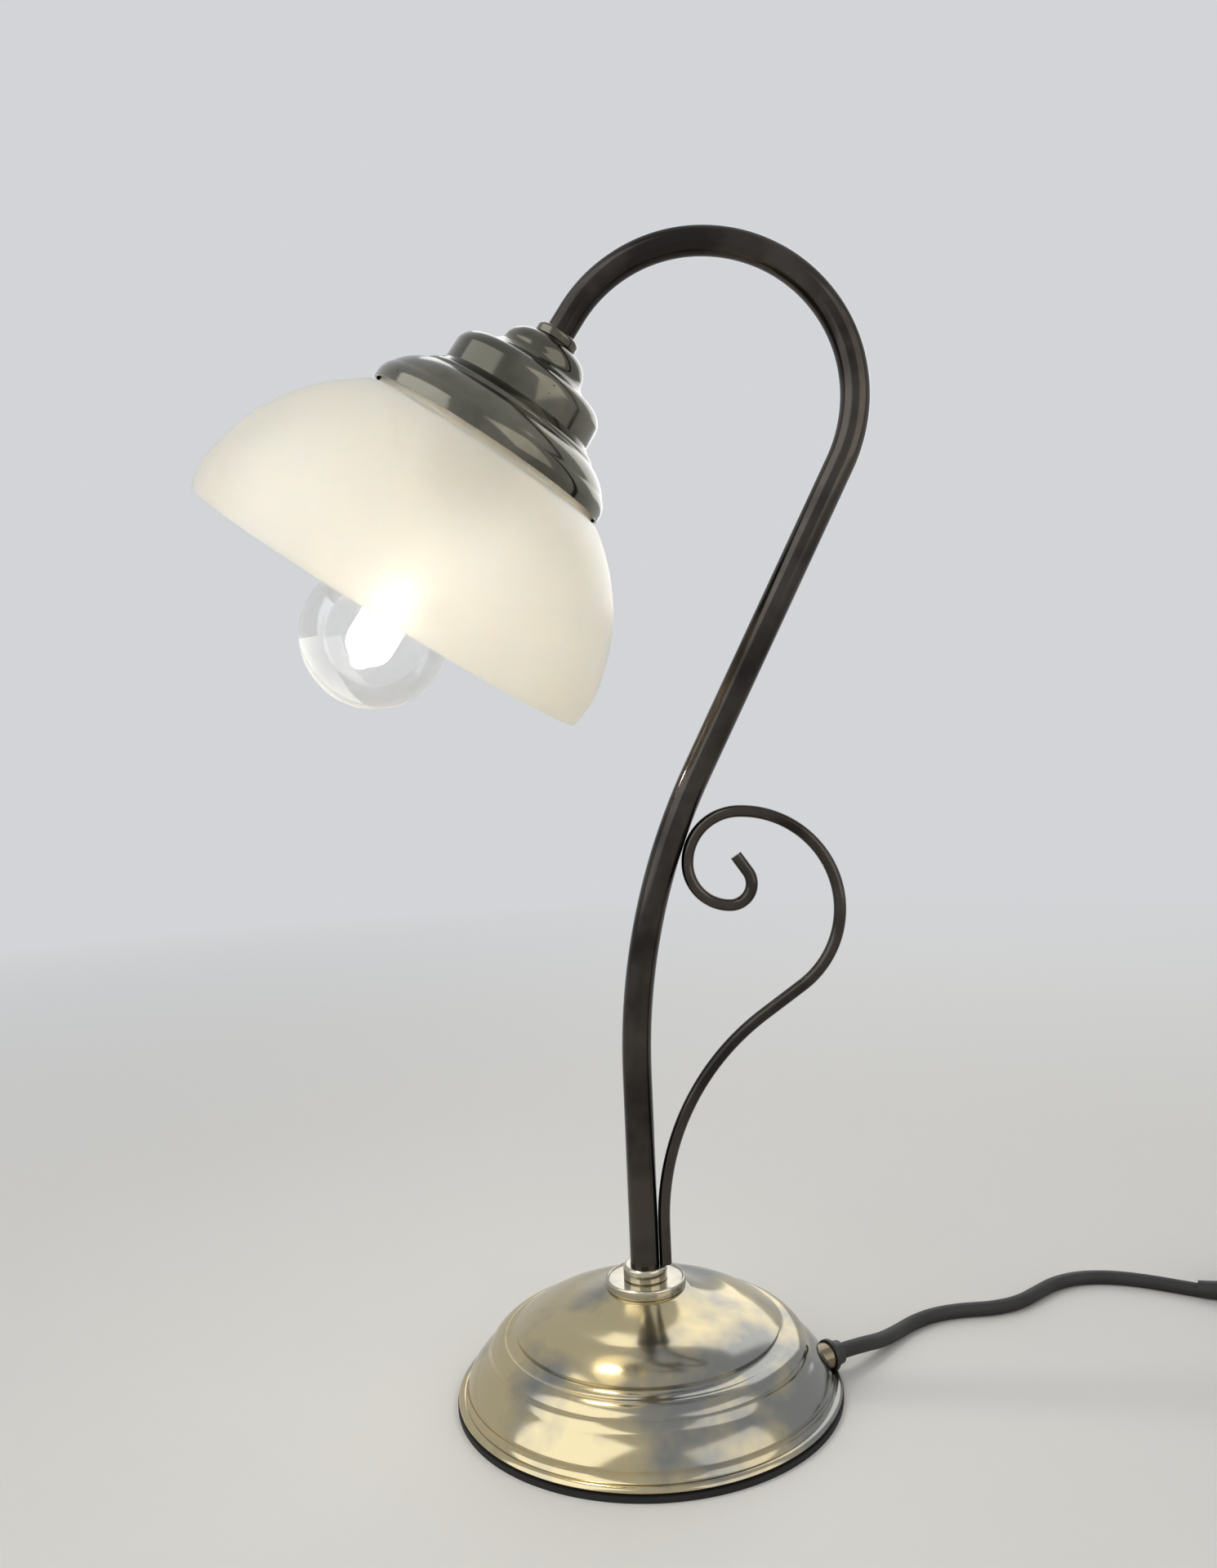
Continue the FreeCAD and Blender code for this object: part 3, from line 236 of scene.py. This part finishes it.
def make_camera():
    """The camera at the photograph's place and angle."""
    data = bpy.data.cameras.new("lamp_camera")
    data.sensor_width = 36.0
    data.lens = FOCAL_PIXELS / FRAME_HEIGHT_PIXELS * data.sensor_width
    camera = linked("lamp_camera", data)
    right, up = Vector(CAMERA_RIGHT).normalized(), Vector(CAMERA_UP).normalized()
    back = right.cross(up)
    turn = Matrix((right, up, back)).transposed().to_4x4()
    camera.matrix_world = Matrix.Translation(Vector(CAMERA_PLACE) * MM) @ turn
    bpy.context.scene.camera = camera


# Material helpers

def new_material(name):
    """A material, its tree and its principled shader."""
    material = bpy.data.materials.new(name)
    material.use_nodes = True
    tree = material.node_tree
    return material, tree, tree.nodes["Principled BSDF"]


def feed(tree, node, inputs):
    """Gives a node's inputs, by name or number, a value or a link from another node."""
    for key, value in inputs.items():
        if isinstance(value, bpy.types.NodeSocket):
            tree.links.new(value, node.inputs[key])
        else:
            node.inputs[key].default_value = value


def add(tree, kind, inputs=None, **settings):
    """One node with its settings and what goes into it."""
    node = tree.nodes.new(kind)
    for name, setting in settings.items():
        setattr(node, name, setting)
    feed(tree, node, inputs or {})
    return node


def repeats(size):
    """Texture scale that puts marks a size in millimetres apart, as object coordinates are metres."""
    return 1 / (size * MM)


def aged_nickel(name, base, painted_reflection, gloss, pits):
    """Nickel plate on spun brass, polished, then aged by hands and air, with a painted reflection laid
    on in clouds.
    """
    # Gives the eye a soft mirror with blue-grey clouds of painted reflection, wipe marks, slow waves and
    # small dark pits
    material, tree, shader = new_material(name)
    place = add(tree, "ShaderNodeTexCoord").outputs["Object"]
    # These clouds mix in the second colour as a painted reflection of a darker room
    reflection_clouds = add(tree, "ShaderNodeTexNoise", {
        "Vector": place, "Scale": repeats(REFLECTION_CLOUD), "Detail": 4.0, "Roughness": 0.55})
    reflection_share = add(tree, "ShaderNodeMapRange", {
        "Value": reflection_clouds.outputs["Fac"], "From Min": 0.44, "From Max": 0.6, "To Max": 0.85})
    body = add(tree, "ShaderNodeMix", {
        MIX_SHARE: reflection_share.outputs["Result"], MIX_LOW: base, MIX_HIGH: painted_reflection}, data_type="RGBA")
    cells = add(tree, "ShaderNodeTexVoronoi", {"Vector": place, "Scale": repeats(PIT_CELL)})
    where = add(tree, "ShaderNodeTexNoise", {
        "Vector": place, "Scale": repeats(PIT_PATCH), "Detail": 2.0})
    size = add(tree, "ShaderNodeMapRange", {
        "Value": where.outputs["Fac"], "From Min": 0.58, "From Max": 0.74, "To Max": pits})
    spots = add(tree, "ShaderNodeMath", {
        0: cells.outputs["Distance"], 1: size.outputs["Result"]}, operation="LESS_THAN")
    pitted = add(tree, "ShaderNodeMix", {
        MIX_SHARE: spots.outputs[0], MIX_LOW: body.outputs[MIX_RESULT],
        MIX_HIGH: colour("2E2822")}, data_type="RGBA")
    wipes = add(tree, "ShaderNodeTexNoise", {
        "Vector": place, "Scale": repeats(WIPE_MARK), "Detail": 5.0, "Roughness": 0.65})
    rough = add(tree, "ShaderNodeMapRange", {
        "Value": wipes.outputs["Fac"], "From Min": 0.35, "From Max": 0.7,
        "To Min": gloss, "To Max": gloss + 0.1})
    waves = add(tree, "ShaderNodeTexNoise", {
        "Vector": place, "Scale": repeats(PLATE_WAVE), "Detail": 1.0})
    raised = add(tree, "ShaderNodeBump", {
        "Height": waves.outputs["Fac"], "Strength": 0.12, "Distance": 0.6 * MM})
    feed(tree, shader, {
        "Base Color": pitted.outputs[MIX_RESULT], "Metallic": 1.0,
        "Roughness": rough.outputs["Result"], "Normal": raised.outputs["Normal"]})
    return material


def opal_glass(name, tint):
    """Blown opal glass, etched to a satin surface."""
    # Gives the eye a milky body that lets light through, a silky sheen and faint bubbles
    material, tree, shader = new_material(name)
    place = add(tree, "ShaderNodeTexCoord").outputs["Object"]
    milk = add(tree, "ShaderNodeTexNoise", {
        "Vector": place, "Scale": repeats(MILK_CLOUD), "Detail": 3.0})
    cast = add(tree, "ShaderNodeMapRange", {
        "Value": milk.outputs["Fac"], "From Min": 0.35, "From Max": 0.7, "To Max": 0.35})
    clouded = add(tree, "ShaderNodeMix", {
        MIX_SHARE: cast.outputs["Result"], MIX_LOW: tint, MIX_HIGH: colour("E2E2DA")},
        data_type="RGBA")
    cells = add(tree, "ShaderNodeTexVoronoi", {"Vector": place, "Scale": repeats(BUBBLE_CELL)})
    dots = add(tree, "ShaderNodeMapRange", {
        "Value": cells.outputs["Distance"], "From Max": 0.16, "To Min": 1.0, "To Max": 0.0})
    raised = add(tree, "ShaderNodeBump", {
        "Height": dots.outputs["Result"], "Strength": 0.12, "Distance": 0.2 * MM})
    feed(tree, shader, {
        "Base Color": clouded.outputs[MIX_RESULT], "Roughness": 0.33, "IOR": 1.5,
        "Transmission Weight": 0.5, "Subsurface Weight": 1.0,
        "Subsurface Radius": (0.008, 0.007, 0.006), "Subsurface Scale": 0.6,
        "Coat Weight": 0.15, "Coat Roughness": 0.3, "Normal": raised.outputs["Normal"]})
    return material


def clear_glass(name, thin, edge):
    """Thin blown soda glass of a bulb."""
    # Gives the eye a film that shows most at its edges, with a little dust and small seeds
    material, tree, shader = new_material(name)
    place = add(tree, "ShaderNodeTexCoord").outputs["Object"]
    dust = add(tree, "ShaderNodeTexNoise", {
        "Vector": place, "Scale": repeats(DUST_GRAIN), "Detail": 3.0, "Roughness": 0.6})
    rough = add(tree, "ShaderNodeMapRange", {
        "Value": dust.outputs["Fac"], "From Min": 0.55, "From Max": 0.75, "To Max": 0.3})
    facing = add(tree, "ShaderNodeLayerWeight", {"Blend": 0.35})
    rim = add(tree, "ShaderNodeMapRange", {
        "Value": facing.outputs["Facing"], "From Min": 0.2, "From Max": 0.95,
        "To Min": thin, "To Max": edge})
    seeds = add(tree, "ShaderNodeTexVoronoi", {"Vector": place, "Scale": repeats(SEED_CELL)})
    specks = add(tree, "ShaderNodeMapRange", {
        "Value": seeds.outputs["Distance"], "From Max": 0.12, "To Min": 0.35, "To Max": 0.0})
    cover = add(tree, "ShaderNodeMath", {
        0: rim.outputs["Result"], 1: specks.outputs["Result"]}, operation="ADD", use_clamp=True)
    feed(tree, shader, {
        "Base Color": colour("F6F3EA"), "Roughness": rough.outputs["Result"], "IOR": 1.45,
        "Transmission Weight": 1.0, "Alpha": cover.outputs[0]})
    return material


def plastic(name, tint, gloss, grain):
    """Moulded plastic, rubber, Bakelite or glazed ceramic."""
    # Gives the eye an even colour, a sheen rubbed dull in places and a fine moulded grain
    material, tree, shader = new_material(name)
    place = add(tree, "ShaderNodeTexCoord").outputs["Object"]
    lighter = [min(1.0, channel * 1.6 + 0.004) for channel in tint[:3]] + [1.0]
    shade = add(tree, "ShaderNodeTexNoise", {
        "Vector": place, "Scale": repeats(SHADE_PATCH), "Detail": 3.0})
    share = add(tree, "ShaderNodeMapRange", {
        "Value": shade.outputs["Fac"], "From Min": 0.35, "From Max": 0.8})
    mixed = add(tree, "ShaderNodeMix", {
        MIX_SHARE: share.outputs["Result"], MIX_LOW: tint, MIX_HIGH: lighter}, data_type="RGBA")
    rubs = add(tree, "ShaderNodeTexNoise", {
        "Vector": place, "Scale": repeats(RUB_MARK), "Detail": 4.0})
    rubbed = add(tree, "ShaderNodeMapRange", {
        "Value": rubs.outputs["Fac"], "From Min": 0.3, "From Max": 0.7,
        "To Min": gloss, "To Max": gloss + 0.12})
    grains = add(tree, "ShaderNodeTexNoise", {
        "Vector": place, "Scale": repeats(MOULD_GRAIN), "Detail": 2.0})
    raised = add(tree, "ShaderNodeBump", {
        "Height": grains.outputs["Fac"], "Strength": grain, "Distance": 0.2 * MM})
    feed(tree, shader, {
        "Base Color": mixed.outputs[MIX_RESULT], "Roughness": rubbed.outputs["Result"],
        "Normal": raised.outputs["Normal"]})
    return material


def rough_metal(name, tint, gloss, mark):
    """Plain turned, pressed or cast metal."""
    # Gives the eye a dull metal with darker marks from the tool or the mould
    material, tree, shader = new_material(name)
    place = add(tree, "ShaderNodeTexCoord").outputs["Object"]
    darker = [channel * 0.6 for channel in tint[:3]] + [1.0]
    marks = add(tree, "ShaderNodeTexNoise", {
        "Vector": place, "Scale": repeats(mark), "Detail": 5.0, "Roughness": 0.7})
    mixed = add(tree, "ShaderNodeMix", {
        MIX_SHARE: marks.outputs["Fac"], MIX_LOW: darker, MIX_HIGH: tint}, data_type="RGBA")
    raised = add(tree, "ShaderNodeBump", {
        "Height": marks.outputs["Fac"], "Strength": 0.15, "Distance": 0.3 * MM})
    feed(tree, shader, {
        "Base Color": mixed.outputs[MIX_RESULT], "Metallic": 1.0, "Roughness": gloss,
        "Normal": raised.outputs["Normal"]})
    return material


def glowing(name, tint, strength):
    """Quartz capsule of a lit halogen bulb."""
    # Gives the eye a white form too bright to show anything inside it
    material, tree, shader = new_material(name)
    feed(tree, shader, {
        "Base Color": tint, "Emission Color": tint, "Emission Strength": strength})
    return material


def finish_nodes(names, material):
    """Gives CAD nodes a material in every slot."""
    for name in names:
        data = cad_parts[name].data
        if not data.materials:
            data.materials.append(material)
        for number in range(len(data.materials)):
            data.materials[number] = material


# Shapes

def arc_points(start, end, radius, steps):
    """Points along the short arc from start to end, left turning for a positive radius."""
    start, end = Vector(start), Vector(end)
    if not radius:
        return [end]
    chord = end - start
    half = chord.length / 2
    side = Vector((-chord.y, chord.x)).normalized() * math.copysign(1, radius)
    centre = (start + end) / 2 + side * math.sqrt(max(radius * radius - half * half, 0.0))
    sweep = 2 * math.asin(min(1.0, half / abs(radius))) * math.copysign(1, radius)
    spoke = start - centre
    turned = []
    for step in range(1, steps + 1):
        angle = sweep * step / steps
        turned.append(centre + Vector((spoke.x * math.cos(angle) - spoke.y * math.sin(angle),
                                       spoke.x * math.sin(angle) + spoke.y * math.cos(angle))))
    return turned


def outline_points(outline, steps=14):
    """Points along an outline, its arcs cut into steps."""
    points = [Vector(outline[0][:2])]
    for corner in outline[1:]:
        points += arc_points(points[-1], corner[:2], corner[2] if len(corner) > 2 else 0, steps)
    return points


def head_matrix():
    """Place of the head: its axis starts at the end of the neck and leans down to -X."""
    lean = Matrix.Rotation(math.radians(180 + HEAD_TILT), 4, "Y")
    return Matrix.Translation(Vector(NECK_END) * MM) @ lean


def piece_from(bm, name, body, material, smooth=40.0):
    """Turns a bmesh into a finished piece that rides on a body."""
    bmesh.ops.remove_doubles(bm, verts=bm.verts, dist=1e-6)
    bmesh.ops.recalc_face_normals(bm, faces=bm.faces)
    data = bpy.data.meshes.new(name)
    bm.to_mesh(data)
    bm.free()
    for polygon in data.polygons:
        polygon.use_smooth = True
    data.set_sharp_from_angle(angle=math.radians(smooth))
    data.materials.append(material)
    return linked(name, data, body)


def turned_piece(name, outline, wall, material, place=Matrix(), steps=160, body="lamp"):
    """A spun shell: the outline is turned about Z, then given its wall towards the inside."""
    bm = bmesh.new()
    points = outline_points(outline)
    verts = [bm.verts.new((point.x * MM, 0, point.y * MM)) for point in points]
    edges = [bm.edges.new(pair) for pair in zip(verts, verts[1:])]
    bmesh.ops.spin(bm, geom=verts + edges, cent=(0, 0, 0), axis=(0, 0, 1), angle=math.tau, steps=steps,
                   use_merge=True)
    bmesh.ops.remove_doubles(bm, verts=bm.verts, dist=1e-6)
    bmesh.ops.recalc_face_normals(bm, faces=bm.faces)
    if wall:
        bmesh.ops.solidify(bm, geom=bm.faces[:], thickness=wall * MM)
    bmesh.ops.transform(bm, matrix=place, verts=bm.verts)
    return piece_from(bm, name, body, material)


def bent_piece(name, foot, moves, sections, material, body="lamp"):
    """A bent bar or tube: a ring at the foot is spun round each bend and drawn along each straight."""
    bm = bmesh.new()
    point = Vector((foot[0], 0, foot[1])) * MM
    heading = math.radians(90)
    rings = []
    for radius in sections:
        made = bmesh.ops.create_circle(bm, segments=RING_SEGMENTS, radius=radius * MM,
                                       matrix=Matrix.Translation(point))
        rings.append(list({edge for vert in made["verts"] for edge in vert.link_edges}))
    if len(rings) == 1:
        bmesh.ops.contextual_create(bm, geom=rings[0])
    else:
        bmesh.ops.bridge_loops(bm, edges=rings[0] + rings[1])
    geom = [edge for ring in rings for edge in ring]
    for move in moves:
        verts = list({vert for edge in geom for vert in edge.verts})
        if move[0] == "straight":
            step = Vector((math.cos(heading), 0, math.sin(heading))) * move[1] * MM
            made = bmesh.ops.extrude_edge_only(bm, edges=geom)["geom"]
            geom = [item for item in made if isinstance(item, bmesh.types.BMEdge)]
            fresh = [item for item in made if isinstance(item, bmesh.types.BMVert)]
            bmesh.ops.translate(bm, vec=step, verts=fresh)
            geom = [edge for edge in geom if all(vert in fresh for vert in edge.verts)]
            point = point + step
            continue
        turn = math.radians(move[2]) * (1 if move[0] == "left" else -1)
        side = heading + math.copysign(math.pi / 2, turn)
        centre = point + Vector((math.cos(side), 0, math.sin(side))) * move[1] * MM
        count = max(6, int(abs(move[2]) * BEND_STEPS_A_DEGREE))
        made = bmesh.ops.spin(bm, geom=verts + geom, cent=centre, axis=(0, -1, 0), angle=turn,
                              steps=count, use_merge=False)["geom_last"]
        geom = [item for item in made if isinstance(item, bmesh.types.BMEdge)]
        spoke = point - centre
        point = centre + Matrix.Rotation(turn, 3, Vector((0, -1, 0))) @ spoke
        heading = heading + turn
    if len(rings) == 1:
        bmesh.ops.contextual_create(bm, geom=geom)
    else:
        bmesh.ops.bridge_loops(bm, edges=geom)
    return piece_from(bm, name, body, material)


def tube_curve(name, route, radii, material):
    """A round tube on a smooth spline through a route in millimetres, thick as given at each point."""
    data = bpy.data.curves.new(name, "CURVE")
    data.dimensions = "3D"
    spline = data.splines.new("NURBS")
    spline.points.add(len(route) - 1)
    for point, place, radius in zip(spline.points, route, radii):
        point.co = (*(Vector(place) * MM), 1.0)
        point.radius = radius
    spline.order_u = 3
    spline.use_endpoint_u = True
    spline.resolution_u = 6
    data.bevel_resolution = 4
    data.use_fill_caps = True
    data.materials.append(material)
    return data


def relief_piece(name, route, first, last, material):
    """A tapered rubber sleeve round the cord where it leaves a housing."""
    steps = len(route) - 1
    radii = [(first + (last - first) * step / steps) / MM for step in range(steps + 1)]
    raised = [(x, y, max(z, radius + RELIEF_LIFT)) for (x, y, z), radius in zip(route, radii)]
    data = tube_curve(name, raised, radii, material)
    data.bevel_depth = MM
    return linked(name, data, "lamp")


def seen_directly(tree):
    """One for rays from the eye, off a gloss or through glass, zero for the light itself."""
    rays = add(tree, "ShaderNodeLightPath")
    total = rays.outputs["Is Camera Ray"]
    for name in ("Is Glossy Ray", "Is Transmission Ray"):
        total = add(tree, "ShaderNodeMath", {0: total, 1: rays.outputs[name]},
                    operation="MAXIMUM").outputs[0]
    return total


def pale_room():
    """A pale room all round, brighter to the eye than it shines."""
    world = bpy.data.worlds.new("pale_room")
    world.use_nodes = True
    tree = world.node_tree
    level = add(tree, "ShaderNodeMapRange", {
        "Value": seen_directly(tree), "To Min": ROOM_LIGHT, "To Max": ROOM_LEVEL})
    feed(tree, tree.nodes["Background"], {
        "Color": ROOM_COLOUR, "Strength": level.outputs["Result"]})
    return world


def pale_floor():
    """Matt painted board that keeps the shadow near the lamp and fades into the room far off."""
    material, tree, shader = new_material("pale_floor")
    feed(tree, shader, {"Base Color": colour("DEDCD7"), "Roughness": 0.7})
    place = add(tree, "ShaderNodeTexCoord").outputs["Object"]
    away = add(tree, "ShaderNodeVectorMath", {"Vector": place}, operation="LENGTH")
    far = add(tree, "ShaderNodeMapRange", {
        "Value": away.outputs["Value"], "From Min": FLOOR_FADE[0], "From Max": FLOOR_FADE[1]})
    share = add(tree, "ShaderNodeMath", {
        0: seen_directly(tree), 1: far.outputs["Result"]}, operation="MULTIPLY")
    glow = add(tree, "ShaderNodeEmission", {"Color": ROOM_COLOUR, "Strength": ROOM_LEVEL})
    mixed = add(tree, "ShaderNodeMixShader", {
        0: share.outputs[0], 1: shader.outputs[0], 2: glow.outputs[0]})
    feed(tree, tree.nodes["Material Output"], {"Surface": mixed.outputs[0]})
    return material


class LAMP_OT_stage(bpy.types.Operator):
    """Camera, floor, world and soft studio lights"""

    bl_idname = "lamp.stage"
    bl_label = "Stage"

    def execute(self, context):
        context.scene.view_settings.view_transform = "Standard"
        make_camera()
        bm = bmesh.new()
        bmesh.ops.create_grid(bm, x_segments=1, y_segments=1, size=FLOOR_REACH)
        data = bpy.data.meshes.new("floor")
        bm.to_mesh(data)
        bm.free()
        floor = linked("floor", data)
        data.materials.append(pale_floor())
        context.scene.world = pale_room()
        for light in LIGHTS:
            area_light(*light)
        return {"FINISHED"}


def bush_spot():
    """Middle of the cord's bush, in millimetres."""
    return Matrix.Rotation(math.radians(BUSH_AZIMUTH), 3, "Z") @ Vector((BUSH_PLACE, 0, BUSH_HEIGHT))


def coil_points(centre, radii, heights):
    """Control points of the coil: one radius and height for each half turn, both led on evenly."""
    points = []
    steps = COIL_STEPS // 2
    for half, (first, last, low, high) in enumerate(zip(radii, radii[1:], heights, heights[1:])):
        for step in range(steps):
            part = step / steps
            angle = math.pi / 2 - math.pi * (half + part)
            radius = first + (last - first) * part
            points.append((centre[0] + radius * math.cos(angle), centre[1] + radius * math.sin(angle),
                           low + (high - low) * part))
    return points


class LAMP_OT_cord(bpy.types.Operator):
    """Cord on its route over the floor, through the switch, round the coil and into the plug"""

    bl_idname = "lamp.cord"
    bl_label = "Cord"

    def execute(self, context):
        sizes = context.scene.lamp_sizes
        material = plastic("cord_sheath", context.scene.lamp_colours.cord, 0.55, 0.05)
        spot = bush_spot()
        out = Matrix.Rotation(math.radians(BUSH_AIM), 3, "Z") @ Vector((1, 0, 0))
        lead = [spot + out * step for step in BUSH_STEPS] + [Vector(place) for place in CORD_ROUTE]
        outer = COIL_RADIUS + COIL_PITCH * COIL_TURNS / 2
        inward = [outer - COIL_PITCH * half / 2 for half in range(2 * COIL_TURNS + 1)]
        upper = FLOOR_LINE + COIL_CLIMB
        heights = [FLOOR_LINE] * len(inward) + [upper] * len(inward)
        coil = [Vector(place) for place in coil_points(COIL_CENTRE, inward + inward[::-1], heights)]
        first = Vector((COIL_CENTRE[0] - COIL_END_SHIFT, COIL_CENTRE[1] + outer, FLOOR_LINE))
        link = [Vector((along, SWITCH_LINE, FLOOR_LINE)) for along in SWITCH_ENDS]
        reach = Vector(((first.x - link[-1].x) * LINK_SHARE, 0, 0))
        link += [link[-1] + reach, first - reach, first]
        start = Vector((COIL_CENTRE[0] - COIL_END_SHIFT, COIL_CENTRE[1] - outer, upper))
        goal = Vector(PLUG_MOUTH)
        tail = [start + Vector(step) for step in TAIL_STEPS] + [goal + Vector((PLUG_RUN, 0, 0)), goal]
        route = lead + link + coil + tail
        data = tube_curve("power_cord", route, [1.0] * len(route), material)
        data.bevel_depth = sizes.cord_width / 2
        cord = linked("power_cord", data, "lamp")
        rubber = plastic("relief_rubber", context.scene.lamp_colours.plastic, 0.5, 0.08)
        root, tip = sizes.relief_root, sizes.relief_tip
        reliefs = [relief_piece("switch_relief_lamp", SWITCH_RELIEF_LAMP, tip, root, rubber),
                   relief_piece("switch_relief_coil", SWITCH_RELIEF_COIL, root, tip, rubber),
                   relief_piece("plug_relief", PLUG_RELIEF, root * PLUG_RELIEF_SHARE, tip, rubber)]
        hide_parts("cord_lead", "cord_link", "cord_coil", "cord_tail")
        return {"FINISHED"}


class LAMP_OT_metal(bpy.types.Operator):
    """Base, neck, scroll, collar, ferrule and holder in their plated finishes"""

    bl_idname = "lamp.metal"
    bl_label = "Metalwork"

    def execute(self, context):
        colours = context.scene.lamp_colours
        # The second colour given to each nickel is its painted reflection, laid on in clouds
        nickel = aged_nickel("aged_nickel", colours.nickel, colours.painted_reflection, 0.1, 0.14)
        bright = aged_nickel("cup_nickel", colour("C9C2AE"), colour("8E8B84"), 0.08, 0.08)
        dark = aged_nickel("dark_nickel", colours.nickel_dark, colour("2A2725"), 0.12, 0.05)
        holder = aged_nickel("holder_nickel", colours.nickel_head, colour("54534A"), 0.09, 0.16)
        base = turned_piece("base_spun", BASE_OUTLINE, BASE_WALL, nickel, steps=192)
        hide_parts("base_shell")
        neck = bent_piece("neck", NECK_FOOT, NECK_MOVES, NECK_RADII, dark)
        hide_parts("neck_tube")
        rod = bent_piece("scroll", ROD_FOOT, ROD_MOVES, ROD_RADII, dark)
        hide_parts("scroll_rod")
        spun = turned_piece("holder", HOLDER_OUTLINE, HOLDER_WALL, holder, head_matrix())
        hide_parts("shade_holder")
        finish_nodes(["base_cup", "foot_collar"], bright)
        finish_nodes(["head_ferrule"], holder)
        finish_nodes(["base_washer", "base_nut", "head_nipple", "shade_clips"],
                     rough_metal("zinc_steel", colour("A5A5A3"), 0.35, STEEL_MARK))
        finish_nodes(["base_weight"], rough_metal("cast_iron", colour("3A3938"), 0.7, CAST_MARK))
        return {"FINISHED"}


class LAMP_OT_glass(bpy.types.Operator):
    """Opal shade and clear bulb with its stem and glowing capsule"""

    bl_idname = "lamp.glass"
    bl_label = "Glass"

    def execute(self, context):
        colours = context.scene.lamp_colours
        sizes = context.scene.lamp_sizes
        opal = opal_glass("satin_opal", colours.opal)
        shade = turned_piece("opal_shade", SHADE_OUTLINE, SHADE_WALL, opal, head_matrix())
        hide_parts("glass_shade")
        finish_nodes(["bulb_glass"], clear_glass("bulb_clear", 0.14, 0.8))
        finish_nodes(["bulb_cap"], rough_metal("bulb_cap_metal", colour("B9B6AE"), 0.25, TURNING_MARK))
        finish_nodes(["lampholder_contact"],
                     rough_metal("contact_brass", colour("B08D4A"), 0.3, TURNING_MARK))
        bakelite = plastic("bakelite", colour("1A1715"), 0.25, 0.03)
        finish_nodes(["lampholder_cap", "lampholder_skirt"], bakelite)
        finish_nodes(["lampholder_insert"], plastic("glazed_ceramic", colour("DAD5C8"), 0.2, 0.03))
        turned_piece("bulb_stem", STEM_OUTLINE, 0, clear_glass("stem_glass", 0.4, 0.9),
                     head_matrix(), steps=32)
        hot = glowing("hot_capsule", colour("FFF7E8"), sizes.capsule_glow)
        turned_piece("halogen_capsule", CAPSULE_OUTLINE, 0, hot, head_matrix(), steps=48)
        return {"FINISHED"}


class LAMP_OT_plastic(bpy.types.Operator):
    """Foot, bush, switch and plug in black plastic and rubber, with the bush's metal sleeve"""

    bl_idname = "lamp.plastic"
    bl_label = "Plastic parts"

    def execute(self, context):
        black = plastic("black_plastic", context.scene.lamp_colours.plastic, 0.38, 0.08)
        finish_nodes(["cord_bush", "switch_base", "switch_cover", "plug_body"], black)
        aim = Matrix.Rotation(math.radians(BUSH_AIM), 4, "Z") @ Matrix.Rotation(math.radians(90), 4, "Y")
        turned_piece("bush_barrel", BUSH_BARREL, 0,
                     rough_metal("ring_nickel", colour("8C806B"), 0.22, TURNING_MARK),
                     Matrix.Translation(bush_spot() * MM) @ aim, steps=48)
        finish_nodes(["switch_rocker"], plastic("rocker_plastic", colour("161514"), 0.22, 0.02))
        finish_nodes(["base_foot"], plastic("foot_rubber", colour("100F0E"), 0.7, 0.2))
        finish_nodes(["plug_pins"], rough_metal("pin_nickel", colour("BDBAB2"), 0.2, PIN_MARK))
        return {"FINISHED"}


class LAMP_PT_panel(bpy.types.Panel):
    """The lamp's operators in the sidebar"""

    bl_label = "Desk lamp"
    bl_space_type = "VIEW_3D"
    bl_region_type = "UI"
    bl_category = "Lamp"

    def draw(self, context):
        for operator in OPERATORS:
            self.layout.operator(operator.bl_idname)
        for group in (context.scene.lamp_sizes, context.scene.lamp_colours):
            for name in group.bl_rna.properties.keys():
                if name not in ("rna_type", "name"):
                    self.layout.prop(group, name)


OPERATORS = [LAMP_OT_stage, LAMP_OT_cord, LAMP_OT_metal, LAMP_OT_glass, LAMP_OT_plastic]
CLASSES = [LampSizes, LampColours, *OPERATORS, LAMP_PT_panel]


def register():
    """Registers the add-on's classes and its properties."""
    for item in CLASSES:
        bpy.utils.register_class(item)
    bpy.types.Scene.lamp_sizes = PointerProperty(type=LampSizes)
    bpy.types.Scene.lamp_colours = PointerProperty(type=LampColours)


def unregister():
    """Takes them away again."""
    del bpy.types.Scene.lamp_sizes
    del bpy.types.Scene.lamp_colours
    for item in reversed(CLASSES):
        bpy.utils.unregister_class(item)


def main():
    """Builds every piece in order."""
    register()
    bpy.ops.lamp.stage()
    bpy.ops.lamp.cord()
    bpy.ops.lamp.metal()
    bpy.ops.lamp.glass()
    bpy.ops.lamp.plastic()


if __name__ == "__main__":
    main()
